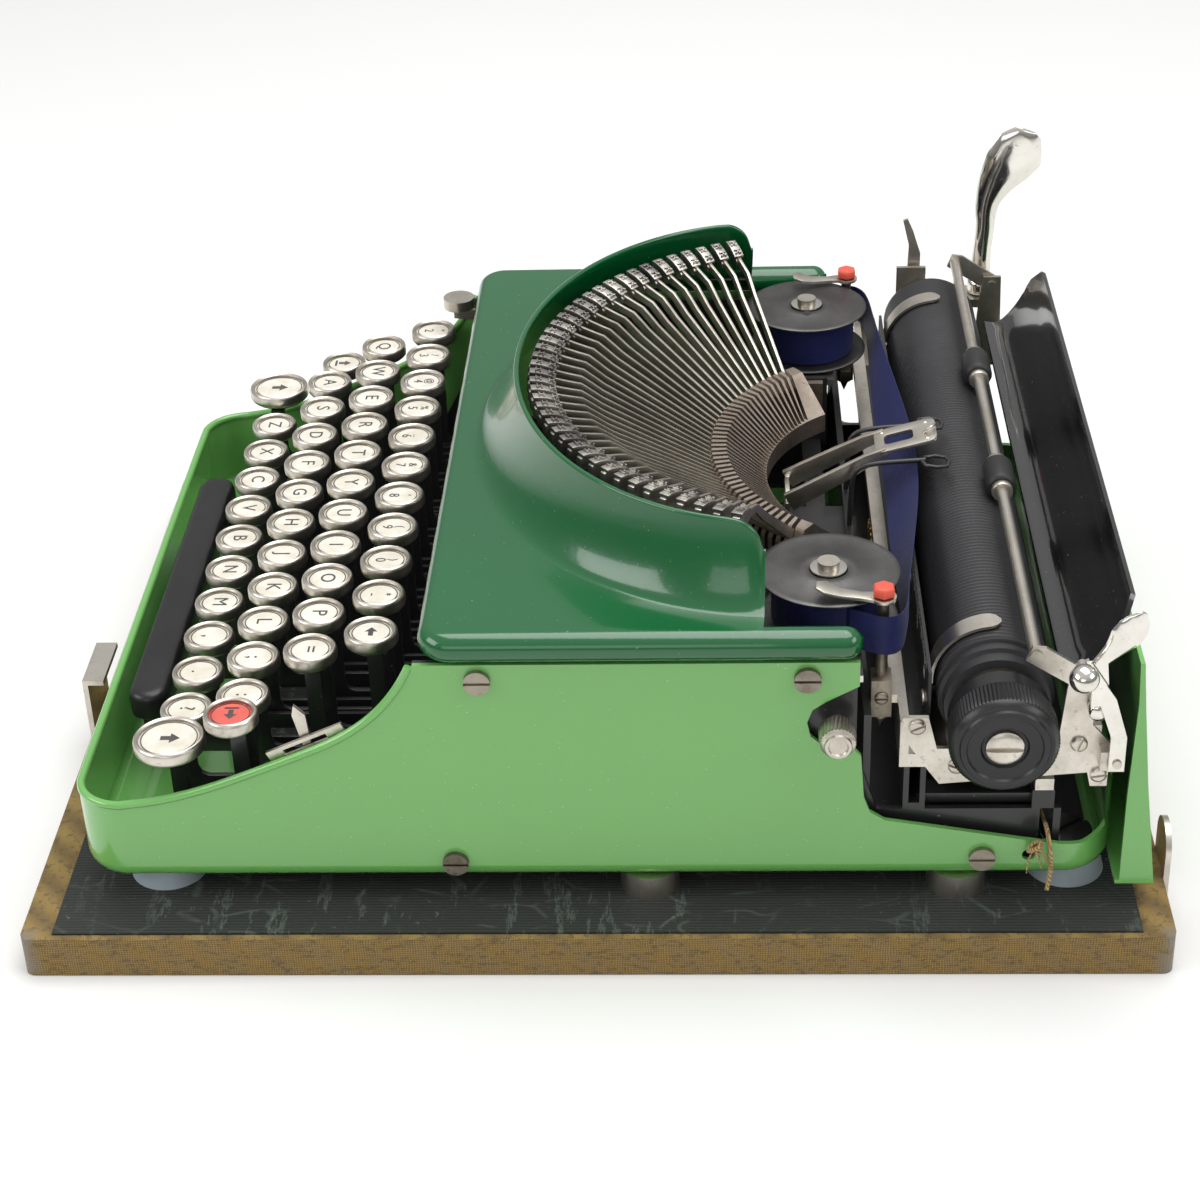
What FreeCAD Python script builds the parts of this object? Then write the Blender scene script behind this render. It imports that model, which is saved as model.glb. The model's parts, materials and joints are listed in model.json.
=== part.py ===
import FreeCAD, Part
import math
import os

# Portable typewriter with a folding type basket, on the base board of its case.
# Millimetres. +X is the typist's right, +Y is away from the typist, +Z is up.
# The origin is the centre of the base board's underside.

os.makedirs("parts", exist_ok=True)

# ---- overall sizes ----
board_width = 264.0
board_depth = 318.0
board_thickness = 12.7
body_width = 232.0
body_front = -143.5
body_rear = 143.0
body_base_gap = 7.4
lining_thickness = 0.6
wall = 1.4
sheet = 1.2
running_gap = 0.05
loose_gap = 0.3

lining_top = board_thickness + lining_thickness
body_bottom = lining_top + body_base_gap
floor_top = body_bottom + 1.5
half_body = body_width / 2
inner_wall = half_body - wall

# ---- top cover and shield ----
cover_half = half_body + 2.0
cover_front = -44.4
cover_shelf_rear = 47.0
cover_arm_rear = 73.0
cover_arm_width = 9.0
cover_bottom = 92.2
cover_top = 101.0
body_side_top = cover_bottom - 0.2
shield_centre_y = 51.1
shield_rim_x = 98.0
shield_rim_y = 75.3
shield_base_x = 107.0
shield_base_y = 89.0
shield_top = 124.5

# ---- keyboard ----
key_pitch = 19.0
key_radius = 7.5
key_ring_height = 4.2
shift_radius = 10.0
lever_thickness = 1.6
lever_bottom = 34.0
lever_height = 5.0
stem_width = 4.5
fulcrum_y = 38.0
fulcrum_z = 64.0
lever_drop_y = -30.0
fulcrum_radius = 1.5
digit_row = dict(first_x=-105.7, y=-60.5, top=83.9, count=10, lever_shift=-3.2)
upper_row = dict(first_x=-103.7, y=-77.7, top=79.2, count=11, lever_shift=-0.3)
home_row = dict(first_x=-94.5, y=-95.9, top=70.4, count=11, lever_shift=0.0)
lower_row = dict(first_x=-85.5, y=-114.7, top=59.1, count=10, lever_shift=5.0)
key_g_index = 4
key_h_index = 5
shift_x = 105.6
shift_y = -115.6
shift_top = 63.0
side_key_x = 110.8
tab_y = -96.5
tab_top = 74.5
lock_y = -93.0
lock_top = 69.5
back_spacer_x = 85.0
space_half = 66.4
space_y = -131.5
space_width = 12.0
space_top = 49.4
space_height = 9.0
comb_y = -36.0

# ---- type basket ----
print_y = 97.3
pivot_radius = 61.3
pivot_z = 89.5
bar_count = 42
fan_half_angle = 50.0
slug_centre_y = 76.3
slug_radius = 97.0
bend_radius = 83.0
slug_z = 120.0
bend_z = 116.0
slug_half_angle = 68.0
bar_thickness = 0.9
slot_width = 1.3
basket_y = 66.0
basket_z = 84.0
basket_pin_x = 57.0
knob_y = 66.5
knob_z = 71.5
raising_knob_radius = 5.0

# ---- ribbon ----
spool_x = 83.4
spool_y = 65.2
spool_radius = 19.4
spool_top = 101.0
spool_height = 15.5
spool_hub = 6.0
wound_radius = 15.5
spindle_radius = 2.0
guide_x = 100.5
guide_y = 79.0
ribbon_thickness = 0.3

# ---- carriage ----
platen_y = 109.3
platen_z = 74.7
platen_radius = 15.6
platen_left = -127.0
platen_right = 111.0
plate_thickness = 1.5
plate_right = 112.0
plate_left = -133.0
core_radius = 12.0
shaft_radius = 3.0
knob_start = 114.3
knob_end = 131.0
knob_radius = 14.6
rail_top = 56.0
rear_rail_top = 48.0
rail_bottom = 42.0
side_plate_x = 111.0
side_plate_thickness = 1.6
bail_y = 118.0
bail_z = 93.0
bail_pivot_y = 131.0
bail_pivot_z = 85.0
bail_roller_radius = 4.4
bail_roller_length = 13.5
feed_roller_radius = 4.5


def vec(x, y, z):
    return FreeCAD.Vector(x, y, z)


def box(x0, x1, y0, y1, z0, z1):
    return Part.makeBox(x1 - x0, y1 - y0, z1 - z0, vec(x0, y0, z0))


def rod(axis, start, radius, length):
    directions = {"x": vec(1, 0, 0), "y": vec(0, 1, 0), "z": vec(0, 0, 1)}
    return Part.makeCylinder(radius, length, vec(*start), directions[axis])


def prism_x(points, x0, x1):
    """Solid of a closed (y, z) outline between two X planes."""
    loop = [vec(x0, y, z) for y, z in points]
    loop.append(loop[0])
    return Part.Face(Part.makePolygon(loop)).extrude(vec(x1 - x0, 0, 0))


def prism_z(points, z0, z1):
    loop = [vec(x, y, z0) for x, y in points]
    loop.append(loop[0])
    return Part.Face(Part.makePolygon(loop)).extrude(vec(0, 0, z1 - z0))


def prism_y(points, y0, y1):
    loop = [vec(x, y0, z) for x, z in points]
    loop.append(loop[0])
    return Part.Face(Part.makePolygon(loop)).extrude(vec(0, y1 - y0, 0))


def fuse(shapes):
    first = shapes[0]
    if len(shapes) == 1:
        return first
    return first.fuse(list(shapes[1:])).removeSplitter()


def cut(shape, tools):
    return shape.cut(Part.makeCompound(list(tools)))


def mirror_x(shape):
    return shape.mirror(vec(0, 0, 0), vec(1, 0, 0))


def both_sides(shape):
    return [shape, mirror_x(shape)]


def rounded_slab(half_x, y0, y1, z0, z1, radius):
    slab = box(-half_x, half_x, y0, y1, z0, z1)
    upright = [e for e in slab.Edges if abs(e.tangentAt(e.FirstParameter).z) > 0.9]
    return slab.makeFillet(radius, upright)


def save(name, shapes):
    solids = []
    for shape in shapes:
        solids.extend(shape.Solids)
    for solid in solids:
        if not solid.isValid():
            print("not valid:", name)
    Part.makeCompound(solids).exportStep("parts/%s.step" % name)
    print(name, len(solids), round(sum(s.Volume for s in solids), 1))


def slotted_screw(x, y, z, radius, out, shank):
    """Round-headed slotted screw whose head stands out along X on the side of sign out."""
    head = rod("x", (0, 0, 0), radius, 1.6)
    slot = box(0.9, 2.0, -radius, radius, -0.4, 0.4)
    body = rod("x", (-shank, 0, 0), radius * 0.45, shank)
    screw = fuse([cut(head, [slot]), body])
    if out < 0:
        screw = mirror_x(screw)
    screw.translate(vec(x, y, z))
    return screw


# ---------------------------------------------------------------- case board

def make_board():
    slab = rounded_slab(board_width / 2, -board_depth / 2, board_depth / 2, 0, board_thickness, 3.0)
    save("case_board", [slab])
    lining = box(-board_width / 2 + 2, board_width / 2 - 2, -board_depth / 2 + 9, board_depth / 2 - 9,
                 board_thickness, lining_top)
    save("board_lining", [lining])


stud_radius = 8.2
stud_x = 108.0
stud_rows = (15.6, 101.0)
catch_x = 18.0
catch_half = 11.0
rear_tab_x = 99.0


def make_board_hardware():
    studs = []
    for y in stud_rows:
        stud = rod("z", (stud_x, y, lining_top), stud_radius, body_base_gap)
        studs.extend(both_sides(stud))
    front = -board_depth / 2
    catch = fuse([
        box(catch_x - catch_half, catch_x + catch_half, front - 1.6, front, 2.0, 30.0),
        box(catch_x - catch_half, catch_x + catch_half, front - 1.6, front + 5.0, 28.4, 30.0),
    ])
    rear = board_depth / 2
    tab = fuse([
        box(rear_tab_x - 7.5, rear_tab_x + 7.5, rear, rear + 1.6, 3.0, 20.0),
        rod("y", (rear_tab_x, rear, 20.0), 7.5, 1.6),
    ])
    save("board_hardware", studs + [catch, tab])


foot_x = 100.0
foot_rows = (-122.0, 132.0)
foot_radius = 11.0
foot_neck = 5.0
foot_cap = 7.4


def make_feet():
    feet = []
    for y in foot_rows:
        for side in (-1, 1):
            x = side * foot_x
            cone = Part.makeCone(foot_radius, 9.0, body_base_gap, vec(x, y, lining_top), vec(0, 0, 1))
            neck = rod("z", (x, y, body_bottom), foot_neck, floor_top - body_bottom)
            cap = rod("z", (x, y, floor_top), foot_cap, 2.6)
            slot = box(x - 8, x + 8, y - 0.7, y + 0.7, floor_top + 1.4, floor_top + 3)
            feet.append(cut(fuse([cone, neck, cap]), [slot]))
    save("machine_feet", feet)


# ---------------------------------------------------------------- body

floor_opening_x = 92.0
floor_front = -106.0
floor_rear = 88.0
rear_wall_top = 50.0
inner_floor_fillet = min(2.0, inner_wall - side_plate_x - side_plate_thickness)
side_screws = ((-37.8, 27.0), (106.9, 28.0), (-28.6, 87.0), (58.6, 87.0))
cord_hole = (119.6, 28.7)


def side_profile():
    """Closed (y, z) face that the body's two side walls fill, as a face in the plane x = 0."""
    low = body_bottom - 1
    sweep = [(-128.0, 46.6), (-118.0, 47.7), (-92.0, 56.9), (-69.4, 66.7), (-60.9, 72.2),
             (-52.0, 81.4), (-45.5, body_side_top)]
    curve = Part.BSplineCurve()
    curve.interpolate([vec(0, y, z) for y, z in sweep])
    rear = [(-45.5, body_side_top), (72.3, body_side_top), (72.3, 84.5), (63.5, 79.6), (60.0, 77.0),
            (58.6, 73.0), (59.6, 68.5), (63.0, 65.4), (70.6, 65.0), (73.2, 62.0), (74.2, 48.4),
            (76.0, 43.4), (80.2, 40.6), (117.8, 33.9), (127.6, 32.4), (134.0, 32.0)]
    rear += [(140.8, 34.0), (141.4, rear_wall_top), (body_rear + 1, rear_wall_top), (body_rear + 1, low),
             (body_front - 1, low), (body_front - 1, 46.0), (-128.0, 46.6)]
    edges = [curve.toShape()]
    for (y0, z0), (y1, z1) in zip(rear[:-1], rear[1:]):
        edges.append(Part.makeLine(vec(0, y0, z0), vec(0, y1, z1)))
    return Part.Face(Part.Wire(edges))


def make_body():
    outer = rounded_slab(half_body, body_front, body_rear, body_bottom, cover_bottom, 14.0)
    bottom = [e for e in outer.Edges if e.BoundBox.ZMax < body_bottom + 0.01]
    outer = outer.makeFillet(5.0, bottom)
    inner = rounded_slab(inner_wall, body_front + wall, body_rear - wall, floor_top, cover_bottom + 1, 12.6)
    low = [e for e in inner.Edges if e.BoundBox.ZMax < floor_top + 0.01]
    inner = inner.makeFillet(inner_floor_fillet, low)
    shell = outer.cut(inner)
    profile = side_profile()
    profile.translate(vec(-half_body - 1, 0, 0))
    kept = profile.extrude(vec(body_width + 2, 0, 0))
    shell = shell.common(kept)
    opening = rounded_slab(floor_opening_x, floor_front, floor_rear, body_bottom - 1, floor_top + 1, 22.0)
    holes = [opening]
    for y in foot_rows:
        for side in (-1, 1):
            holes.append(rod("z", (side * foot_x, y, body_bottom - 1), foot_neck + loose_gap, 4))
    for y, z in side_screws:
        holes.append(rod("x", (-half_body - 1, y, z), 3.6 * 0.45 + running_gap, wall + 2))
        holes.append(rod("x", (inner_wall - 1, y, z), 3.6 * 0.45 + running_gap, wall + 2))
    holes.append(rod("x", (inner_wall - 1, cord_hole[0], cord_hole[1]), 1.8, wall + 2))
    shell = cut(shell, holes)
    save("body_shell", [shell])
    screws = []
    for y, z in side_screws:
        screws.append(slotted_screw(half_body, y, z, 3.6, 1, 2.4))
        screws.append(slotted_screw(-half_body, y, z, 3.6, -1, 2.4))
    save("body_screws", screws)


panel_half = 119.2


def make_rear_panel():
    outline = [(152.4, body_bottom + 0.5), (148.2, 55.0), (145.6, 80.0), (144.4, 93.0)]
    outer = [(y + sheet, z) for y, z in outline]
    skin = prism_x(outline + outer[::-1], -panel_half, panel_half)
    flange_outline = [(144.2, body_bottom + 0.5), (144.2, 50.5), (145.0, 80.0), (144.4, 93.0)]
    flange = prism_x(flange_outline + outer[::-1], panel_half - sheet, panel_half)
    foot = box(-panel_half, panel_half, body_rear, 153.0, body_bottom + 0.5, body_bottom + 1.7)
    save("rear_panel", [fuse([skin, flange, mirror_x(flange), foot])])


# ---------------------------------------------------------------- top cover

def half_ellipse_wire(a, b, z, samples=28):
    """Closed wire: the front half of an ellipse about the shield's centre, closed along the rear."""
    points = []
    for i in range(samples + 1):
        t = math.radians(-90 + 180 * i / samples)
        points.append(vec(a * math.sin(t), shield_centre_y - b * math.cos(t), z))
    curve = Part.BSplineCurve()
    curve.interpolate(points)
    return Part.Wire([curve.toShape(), Part.makeLine(points[-1], points[0])])


def shield_cone(shrink, z0, z1):
    slope_x = (shield_base_x - shield_rim_x) / (shield_top - cover_top)
    slope_y = (shield_base_y - shield_rim_y) / (shield_top - cover_top)

    def ring(z):
        rise = z - cover_top
        return half_ellipse_wire(shield_base_x - slope_x * rise - shrink,
                                 shield_base_y - slope_y * rise - shrink, z)

    return Part.makeLoft([ring(z0), ring(z1)], True, True)


def make_cover():
    block = box(-cover_half, cover_half, cover_front, cover_arm_rear, cover_bottom, cover_top)
    rounded = [e for e in block.Edges if e.BoundBox.YMax < cover_front + 0.1 or e.Length > 100]
    long_top = [e for e in rounded if e.BoundBox.ZMin > cover_top - 0.1]
    block = block.makeFillet(4.2, long_top)
    inside = box(-cover_half + 7, cover_half - 7, cover_front + sheet, cover_arm_rear + 1,
                 cover_bottom - 1, cover_top - sheet)
    rear_gap = box(-cover_half + cover_arm_width, cover_half - cover_arm_width, cover_shelf_rear,
                   cover_arm_rear + 1, cover_bottom - 1, cover_top + 1)
    shield = shield_cone(0.0, cover_top - sheet, shield_top)
    behind = box(-200, 200, cover_shelf_rear, 200, cover_bottom - 5, shield_top + 5)
    shell = fuse([block.cut(inside), shield.cut(behind)])
    hollow = shield_cone(1.6, cover_top - sheet - 1.5, shield_top + 1.0)
    shell = cut(shell, [rear_gap, hollow])
    save("top_cover", [shell])


# ---------------------------------------------------------------- base frame

def lever_x(row, index):
    return row["first_x"] + key_pitch * index + row["lever_shift"]


space_arms = (-58.9, 59.8)
shift_lever_x = (-99.3, 100.2)
tab_lever_x = 104.9
lock_lever_x = -106.45
back_spacer_lever_x = 81.2
pivot_ear = 6.0
vibrator_bar_half = 8.0


def side_plate():
    plate = prism_x([(-120, floor_top), (-120, 30), (-66, 34), (-52, 60), (-46, 90.5), (72, 90.5),
                     (72, 60), (78, rail_bottom), (128, rail_bottom), (128, floor_top)],
                    side_plate_x, side_plate_x + side_plate_thickness)
    window = prism_x([(-40, 46), (-34, 80), (26, 80), (26, 46)], side_plate_x - 1, side_plate_x + 3)
    notch = box(side_plate_x - 1, side_plate_x + 3, 122.3, 126.0, 28.5, rail_bottom + 1)
    knob_hole = rod("x", (side_plate_x - 1, knob_y, knob_z), 2.0 + running_gap, 4)
    flange = box(side_plate_x - 9, side_plate_x + 0.1, -100, 80, floor_top, floor_top + 1.4)
    key_room = box(side_plate_x - 10, side_plate_x, -101, 20, floor_top - 1, floor_top + 3)
    return fuse([cut(plate, [window, notch, knob_hole]), flange.cut(key_room)])


def make_frame():
    right = side_plate()
    parts = [right, mirror_x(right)]
    span = side_plate_x + 0.1
    parts.append(box(-span, span, 74.0, 76.0, floor_top, 72.0))
    parts.append(box(-104.0, 104.0, 127.0, 138.0, floor_top, floor_top + 1.5))
    parts.append(box(-span, span, 76.0, 128.0, floor_top, floor_top + 1.5))
    parts.append(box(-span, span, 66.0 - 3, 66.0 + 3, 62.0, 66.0))
    for side in (-1, 1):
        x = side * basket_pin_x
        ear = prism_x([(61.0, 64.0), (61.0, 88.0), (71.0, 88.0), (71.0, 64.0)], x - 1.0, x + 1.0)
        parts.append(ear.cut(rod("x", (x - 2, basket_y, basket_z), 1.5 + running_gap, 4)))
    parts.append(box(-12, 12, 52.0, 76.0, 62.0, 66.0))
    parts.append(rod("y", (0, 76.0, escape_z), 1.5, 7.4))
    parts.append(rod("z", (drum_x, drum_y, floor_top), 2.0, 13.0))
    parts.append(rod("z", (bell_x, bell_y, floor_top), 1.6, 10.0))
    parts.append(rod("z", (hammer_x, hammer_y, floor_top), 2.2, 5.1))
    parts.append(rod("z", (hammer_x, hammer_y, floor_top), 1.0, 10.5))
    frame = fuse(parts)
    foot_holes = []
    for y in foot_rows:
        for side in (-1, 1):
            foot_holes.append(rod("z", (side * foot_x, y, floor_top - 1), foot_cap + loose_gap, 3))
    frame = cut(frame, foot_holes)
    vib_slot = box(-vibrator_bar_half - loose_gap, vibrator_bar_half + loose_gap,
                   56.0 - loose_gap, 57.4 + loose_gap, 60.0, 68.0)
    frame = cut(frame, [vib_slot])
    pin = rod("x", (-side_plate_x, fulcrum_y, fulcrum_z), fulcrum_radius, 2 * side_plate_x)
    save("base_frame", [frame, pin])


def all_lever_positions():
    places = []
    for row in (digit_row, upper_row, home_row, lower_row):
        for index in range(row["count"]):
            places.append(lever_x(row, index))
    places.extend(space_arms)
    places.extend(shift_lever_x)
    places.extend([tab_lever_x, lock_lever_x, back_spacer_lever_x])
    return sorted(places)


def make_comb():
    plate = box(-side_plate_x, side_plate_x, comb_y - 1.0, comb_y + 1.0, floor_top, 46.0)
    slots = []
    for x in all_lever_positions():
        gap = lever_thickness / 2 + 0.25
        slots.append(box(x - gap, x + gap, comb_y - 2, comb_y + 2, floor_top + 1.2, 47.0))
    save("key_comb", [cut(plate, slots)])


# ---------------------------------------------------------------- keys

def lever_plate(x, y, stem_top, half_stem):
    """Flat lever: from its eye on the fulcrum rod down and forward, then level, then up the stem."""
    level = lever_bottom + lever_height
    outline = [(fulcrum_y + 6, fulcrum_z - 3), (fulcrum_y + 6, fulcrum_z + 3), (fulcrum_y - 1, fulcrum_z + 3),
               (lever_drop_y, level), (y + half_stem + 3, level), (y + half_stem, level + 3),
               (y + half_stem, stem_top), (y - half_stem, stem_top), (y - half_stem, lever_bottom),
               (lever_drop_y - 1, lever_bottom), (fulcrum_y + 1, fulcrum_z - 3)]
    plate = prism_x(outline, x - lever_thickness / 2, x + lever_thickness / 2)
    return plate.cut(rod("x", (x - 5, fulcrum_y, fulcrum_z), fulcrum_radius + running_gap, 10))


def key_lever(x, y, top, lever_place, radius):
    """One stamped lever with its stem, and the black cup that carries the key top."""
    cup_bottom = top - key_ring_height - 1.4
    plate = lever_plate(lever_place, y, cup_bottom, stem_width / 2)
    cup = rod("z", (x, y, cup_bottom), radius - 0.9, 1.4)
    return fuse([plate, cup])


def key_top(x, y, top, radius):
    """Bright ring and the glass disc inside it."""
    low = top - key_ring_height
    ring = rod("z", (x, y, low), radius, key_ring_height)
    well = rod("z", (x, y, low - 1), radius - 1.1, key_ring_height + 2)
    glass = rod("z", (x, y, low), radius - 1.1, key_ring_height - 0.9)
    return [ring.cut(well), glass]


def key_solids(x, y, top, lever_place, radius=key_radius):
    return [key_lever(x, y, top, lever_place, radius)] + key_top(x, y, top, radius)


def row_key(row, index):
    return key_solids(row["first_x"] + key_pitch * index, row["y"], row["top"], lever_x(row, index))


def make_keys():
    rows = (("keys_digit_row", digit_row, ()), ("keys_upper_row", upper_row, ()),
            ("keys_home_row", home_row, (key_g_index, key_h_index)), ("keys_lower_row", lower_row, ()))
    for name, row, skipped in rows:
        solids = []
        for index in range(row["count"]):
            if index not in skipped:
                solids.extend(row_key(row, index))
        save(name, solids)
    save("key_g", row_key(home_row, key_g_index))
    save("key_h", row_key(home_row, key_h_index))
    save("shift_key_left", key_solids(-shift_x, shift_y, shift_top, shift_lever_x[0], shift_radius))
    save("shift_key_right", key_solids(shift_x, shift_y, shift_top, shift_lever_x[1], shift_radius))
    save("tab_key", key_solids(side_key_x, tab_y, tab_top, tab_lever_x))
    save("shift_lock", key_solids(-side_key_x, lock_y, lock_top, lock_lever_x))
    save("back_spacer", key_solids(back_spacer_x, digit_row["y"], digit_row["top"], back_spacer_lever_x))


def make_space_bar():
    bar = box(-space_half, space_half, space_y - space_width / 2, space_y + space_width / 2,
              space_top - space_height, space_top)
    ends = [e for e in bar.Edges if abs(e.tangentAt(e.FirstParameter).z) > 0.9]
    bar = bar.makeFillet(5.0, ends)
    arms = []
    for x in space_arms:
        arms.append(lever_plate(x, space_y, space_top - space_height + 1, 3.0))
    save("space_bar", [fuse([bar] + arms)])


margin_x = -108.6
margin_y = -51.5
margin_top = 94.0
margin_pivot = (-10.0, 86.5)


def make_margin_release():
    cap = rod("z", (margin_x, margin_y, margin_top - 3.5), 5.2, 3.5)
    arm = prism_x([(margin_y - 2, 86.0), (margin_y - 2, margin_top - 3.5), (margin_y + 2, margin_top - 3.5),
                   (margin_y + 3, 89.0), (-7, 89.0), (-7, 84.6), (margin_y + 6, 85.4)],
                  margin_x - 1.6, margin_x)
    arm = arm.cut(rod("x", (margin_x - 3, margin_pivot[0], margin_pivot[1]), 1.0 + running_gap, 6))
    save("margin_release", [fuse([cap, arm])])


# ---------------------------------------------------------------- type basket

def pivot_point(angle):
    return vec(pivot_radius * math.sin(angle), print_y - pivot_radius * math.cos(angle), pivot_z)


def arc_point(radius, angle, z):
    return vec(radius * math.sin(angle), slug_centre_y - radius * math.cos(angle), z)


def strip(a, b, height_a, height_b, thickness):
    """Upright thin plate from a to b, with its own height at each end."""
    along = b.sub(a)
    across = along.cross(vec(0, 0, 1))
    across.normalize()
    across = across.multiply(thickness / 2)
    up = across.cross(along)
    up.normalize()
    if up.z < 0:
        up = up.multiply(-1)
    corners = [a.add(vec(up.x, up.y, up.z).multiply(height_a / 2)),
               b.add(vec(up.x, up.y, up.z).multiply(height_b / 2)),
               b.add(vec(up.x, up.y, up.z).multiply(-height_b / 2)),
               a.add(vec(up.x, up.y, up.z).multiply(-height_a / 2))]
    side = [c.sub(across) for c in corners]
    side.append(side[0])
    return Part.Face(Part.makePolygon(side)).extrude(across.multiply(2))


def type_bar(index):
    share = 2 * index / (bar_count - 1) - 1
    fan = math.radians(fan_half_angle * share)
    spread = math.radians(slug_half_angle * share)
    pivot = pivot_point(fan)
    bend = arc_point(bend_radius, spread, bend_z)
    tip = arc_point(slug_radius, spread, slug_z)
    reach = tip.sub(bend)
    slug_start = bend.add(vec(reach.x, reach.y, reach.z).multiply(0.4))
    past_bend = bend.add(vec(reach.x, reach.y, reach.z).multiply(0.05))
    lean = bend.sub(pivot)
    heel = pivot.sub(vec(lean.x, lean.y, lean.z).multiply(1.8 / lean.Length))
    shank = strip(heel, past_bend, 3.6, 2.4, bar_thickness)
    neck = strip(bend, slug_start, 2.4, 2.4, bar_thickness)
    slug = strip(slug_start, tip, 5.6, 5.6, 4.0)
    return fuse([shank, neck, slug])


bar_g = 20
bar_h = 21


def make_type_bars():
    bars = [type_bar(i) for i in range(bar_count) if i not in (bar_g, bar_h)]
    save("type_bars", bars)
    save("type_bar_g", [type_bar(bar_g)])
    save("type_bar_h", [type_bar(bar_h)])


def make_segment():
    low = 78.5
    outline = [(47.0, low), (66.5, low), (66.5, 89.5), (63.5, 94.5), (59.0, 94.5), (47.0, 84.5)]
    loop = [vec(0, print_y - r, z) for r, z in outline]
    loop.append(loop[0])
    face = Part.Face(Part.makePolygon(loop))
    end_angle = fan_half_angle + 4
    face.rotate(vec(0, print_y, 0), vec(0, 0, 1), -end_angle)
    ring = face.revolve(vec(0, print_y, 0), vec(0, 0, 1), 2 * end_angle)
    slots = []
    for i in range(bar_count):
        share = 2 * i / (bar_count - 1) - 1
        pivot = pivot_point(math.radians(fan_half_angle * share))
        bend = arc_point(bend_radius, math.radians(slug_half_angle * share), bend_z)
        heading = math.degrees(math.atan2(bend.x - pivot.x, pivot.y - bend.y))
        slot = box(-slot_width / 2, slot_width / 2, -9.0, 14.5, pivot_z - 5.2, 96.0)
        slot.rotate(vec(0, 0, 0), vec(0, 0, 1), heading)
        slot.translate(vec(pivot.x, pivot.y, 0))
        slots.append(slot)
    ring = cut(ring, slots)
    arms = []
    for side in (-1, 1):
        x = side * (basket_pin_x - 2.5)
        arm = box(x - 1.2, x + 1.2, 58.0, 69.5, 78.5, 87.5)
        pin = rod("x", (min(x, x + side * 4.0), basket_y, basket_z), 1.5, 4.0)
        arms.append(fuse([arm, pin]))
        inward = side * (basket_pin_x - 9.0)
        arms.append(box(min(inward, x), max(inward, x), 58.0, 63.0, 78.5, 84.0))
    save("type_segment", [fuse([ring] + arms)])


def make_raising_knob():
    start = half_body + 1.0
    grip = rod("x", (start, knob_y, knob_z), raising_knob_radius, 8.0)
    face = rod("x", (start + 8.0, knob_y, knob_z), 3.4, 0.6)
    shaft = rod("x", (side_plate_x - 8.0, knob_y, knob_z), 2.0, start - side_plate_x + 8.5)
    cam = rod("x", (side_plate_x - 8.0, knob_y, knob_z), 4.5, 3.0)
    save("raising_knob", [fuse([grip, face, shaft, cam])])


# ---------------------------------------------------------------- ribbon

def spool(side):
    x = side * spool_x
    low = spool_top - spool_height
    hub = rod("z", (x, spool_y, low), spool_hub, spool_height)
    top = rod("z", (x, spool_y, spool_top - 0.8), spool_radius, 0.8)
    base = rod("z", (x, spool_y, low), spool_radius, 0.8)
    body = fuse([hub, top, base]).cut(rod("z", (x, spool_y, low - 1), spindle_radius + running_gap, 20))
    wound = rod("z", (x, spool_y, low + 1.2), wound_radius, spool_height - 2.4)
    wound = wound.cut(rod("z", (x, spool_y, low), spool_hub, 20))
    return [body, wound]


def make_spools():
    save("ribbon_spool_right", spool(1))
    save("ribbon_spool_left", spool(-1))
    low = spool_top - spool_height
    bracket = fuse([
        box(62.0, side_plate_x, 56.0, 73.5, low - 3.0, low - 1.0),
        rod("z", (spool_x, spool_y, low - 1.0), spindle_radius, spool_height + 2.6),
        rod("z", (spool_x, spool_y, low - 1.0), 4.0, 0.7),
        rod("z", (spool_x, spool_y, spool_top + 0.3), 3.0, 2.4),
    ])
    save("spool_supports", both_sides(bracket))


lever_z = spool_top + 0.9


def make_ribbon_guides():
    post = fuse([
        rod("z", (guide_x, guide_y, 74.0), 1.6, lever_z + 1.3 - 74.0),
        rod("z", (guide_x, guide_y, lever_z + 1.2), 2.8, 3.0),
        box(guide_x - 3.5, guide_x + 3.5, 76.0, 82.0, 66.0, 78.0),
        Part.makeCone(0.4, 2.4, 5.0, vec(guide_x, guide_y, 61.0), vec(0, 0, 1)),
    ])
    card_post = fuse([
        box(10.0, 12.0, 74.0, 76.0, 72.0, 94.8),
        box(10.0, 12.0, 74.0, 103.0, 93.9, 94.8),
        box(8.6, 14.0, 101.5, 103.0, 93.9, 94.8),
    ])
    window = box(10.5, 11.5, 92.0, 101.0, 93.0, 96.0)
    save("ribbon_guides", both_sides(post) + both_sides(card_post.cut(window)))


def reverse_lever(side):
    arm = prism_z([(guide_x - 2.6, guide_y - 1), (guide_x - 4.2, 62.0), (guide_x + 0.6, 61.0),
                   (guide_x + 2.6, guide_y - 1)], lever_z, lever_z + 1.0)
    eye = rod("z", (guide_x, guide_y, lever_z), 3.4, 1.0)
    bore = rod("z", (guide_x, guide_y, spool_top), 1.6 + running_gap, 6)
    lever = fuse([arm, eye]).cut(bore)
    if side < 0:
        lever = mirror_x(lever)
    return lever


def ribbon_stations():
    """Lower and upper edge points of the ribbon from the right spool to the middle."""
    return [((99.6, 70.4, 86.6), (99.6, 70.4, 98.4)), ((103.6, 78.0, 86.6), (103.6, 78.0, 98.4)),
            ((103.2, 82.2, 86.4), (103.2, 82.2, 98.2)), ((98.0, 85.2, 86.0), (98.0, 85.4, 97.8)),
            ((80.0, 85.4, 84.6), (80.0, 87.4, 96.0)), ((55.0, 85.0, 82.6), (55.0, 90.4, 93.2)),
            ((28.0, 85.2, 81.0), (28.0, 93.6, 91.6)), ((0.0, 86.0, 80.2), (0.0, 95.0, 90.8))]


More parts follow.
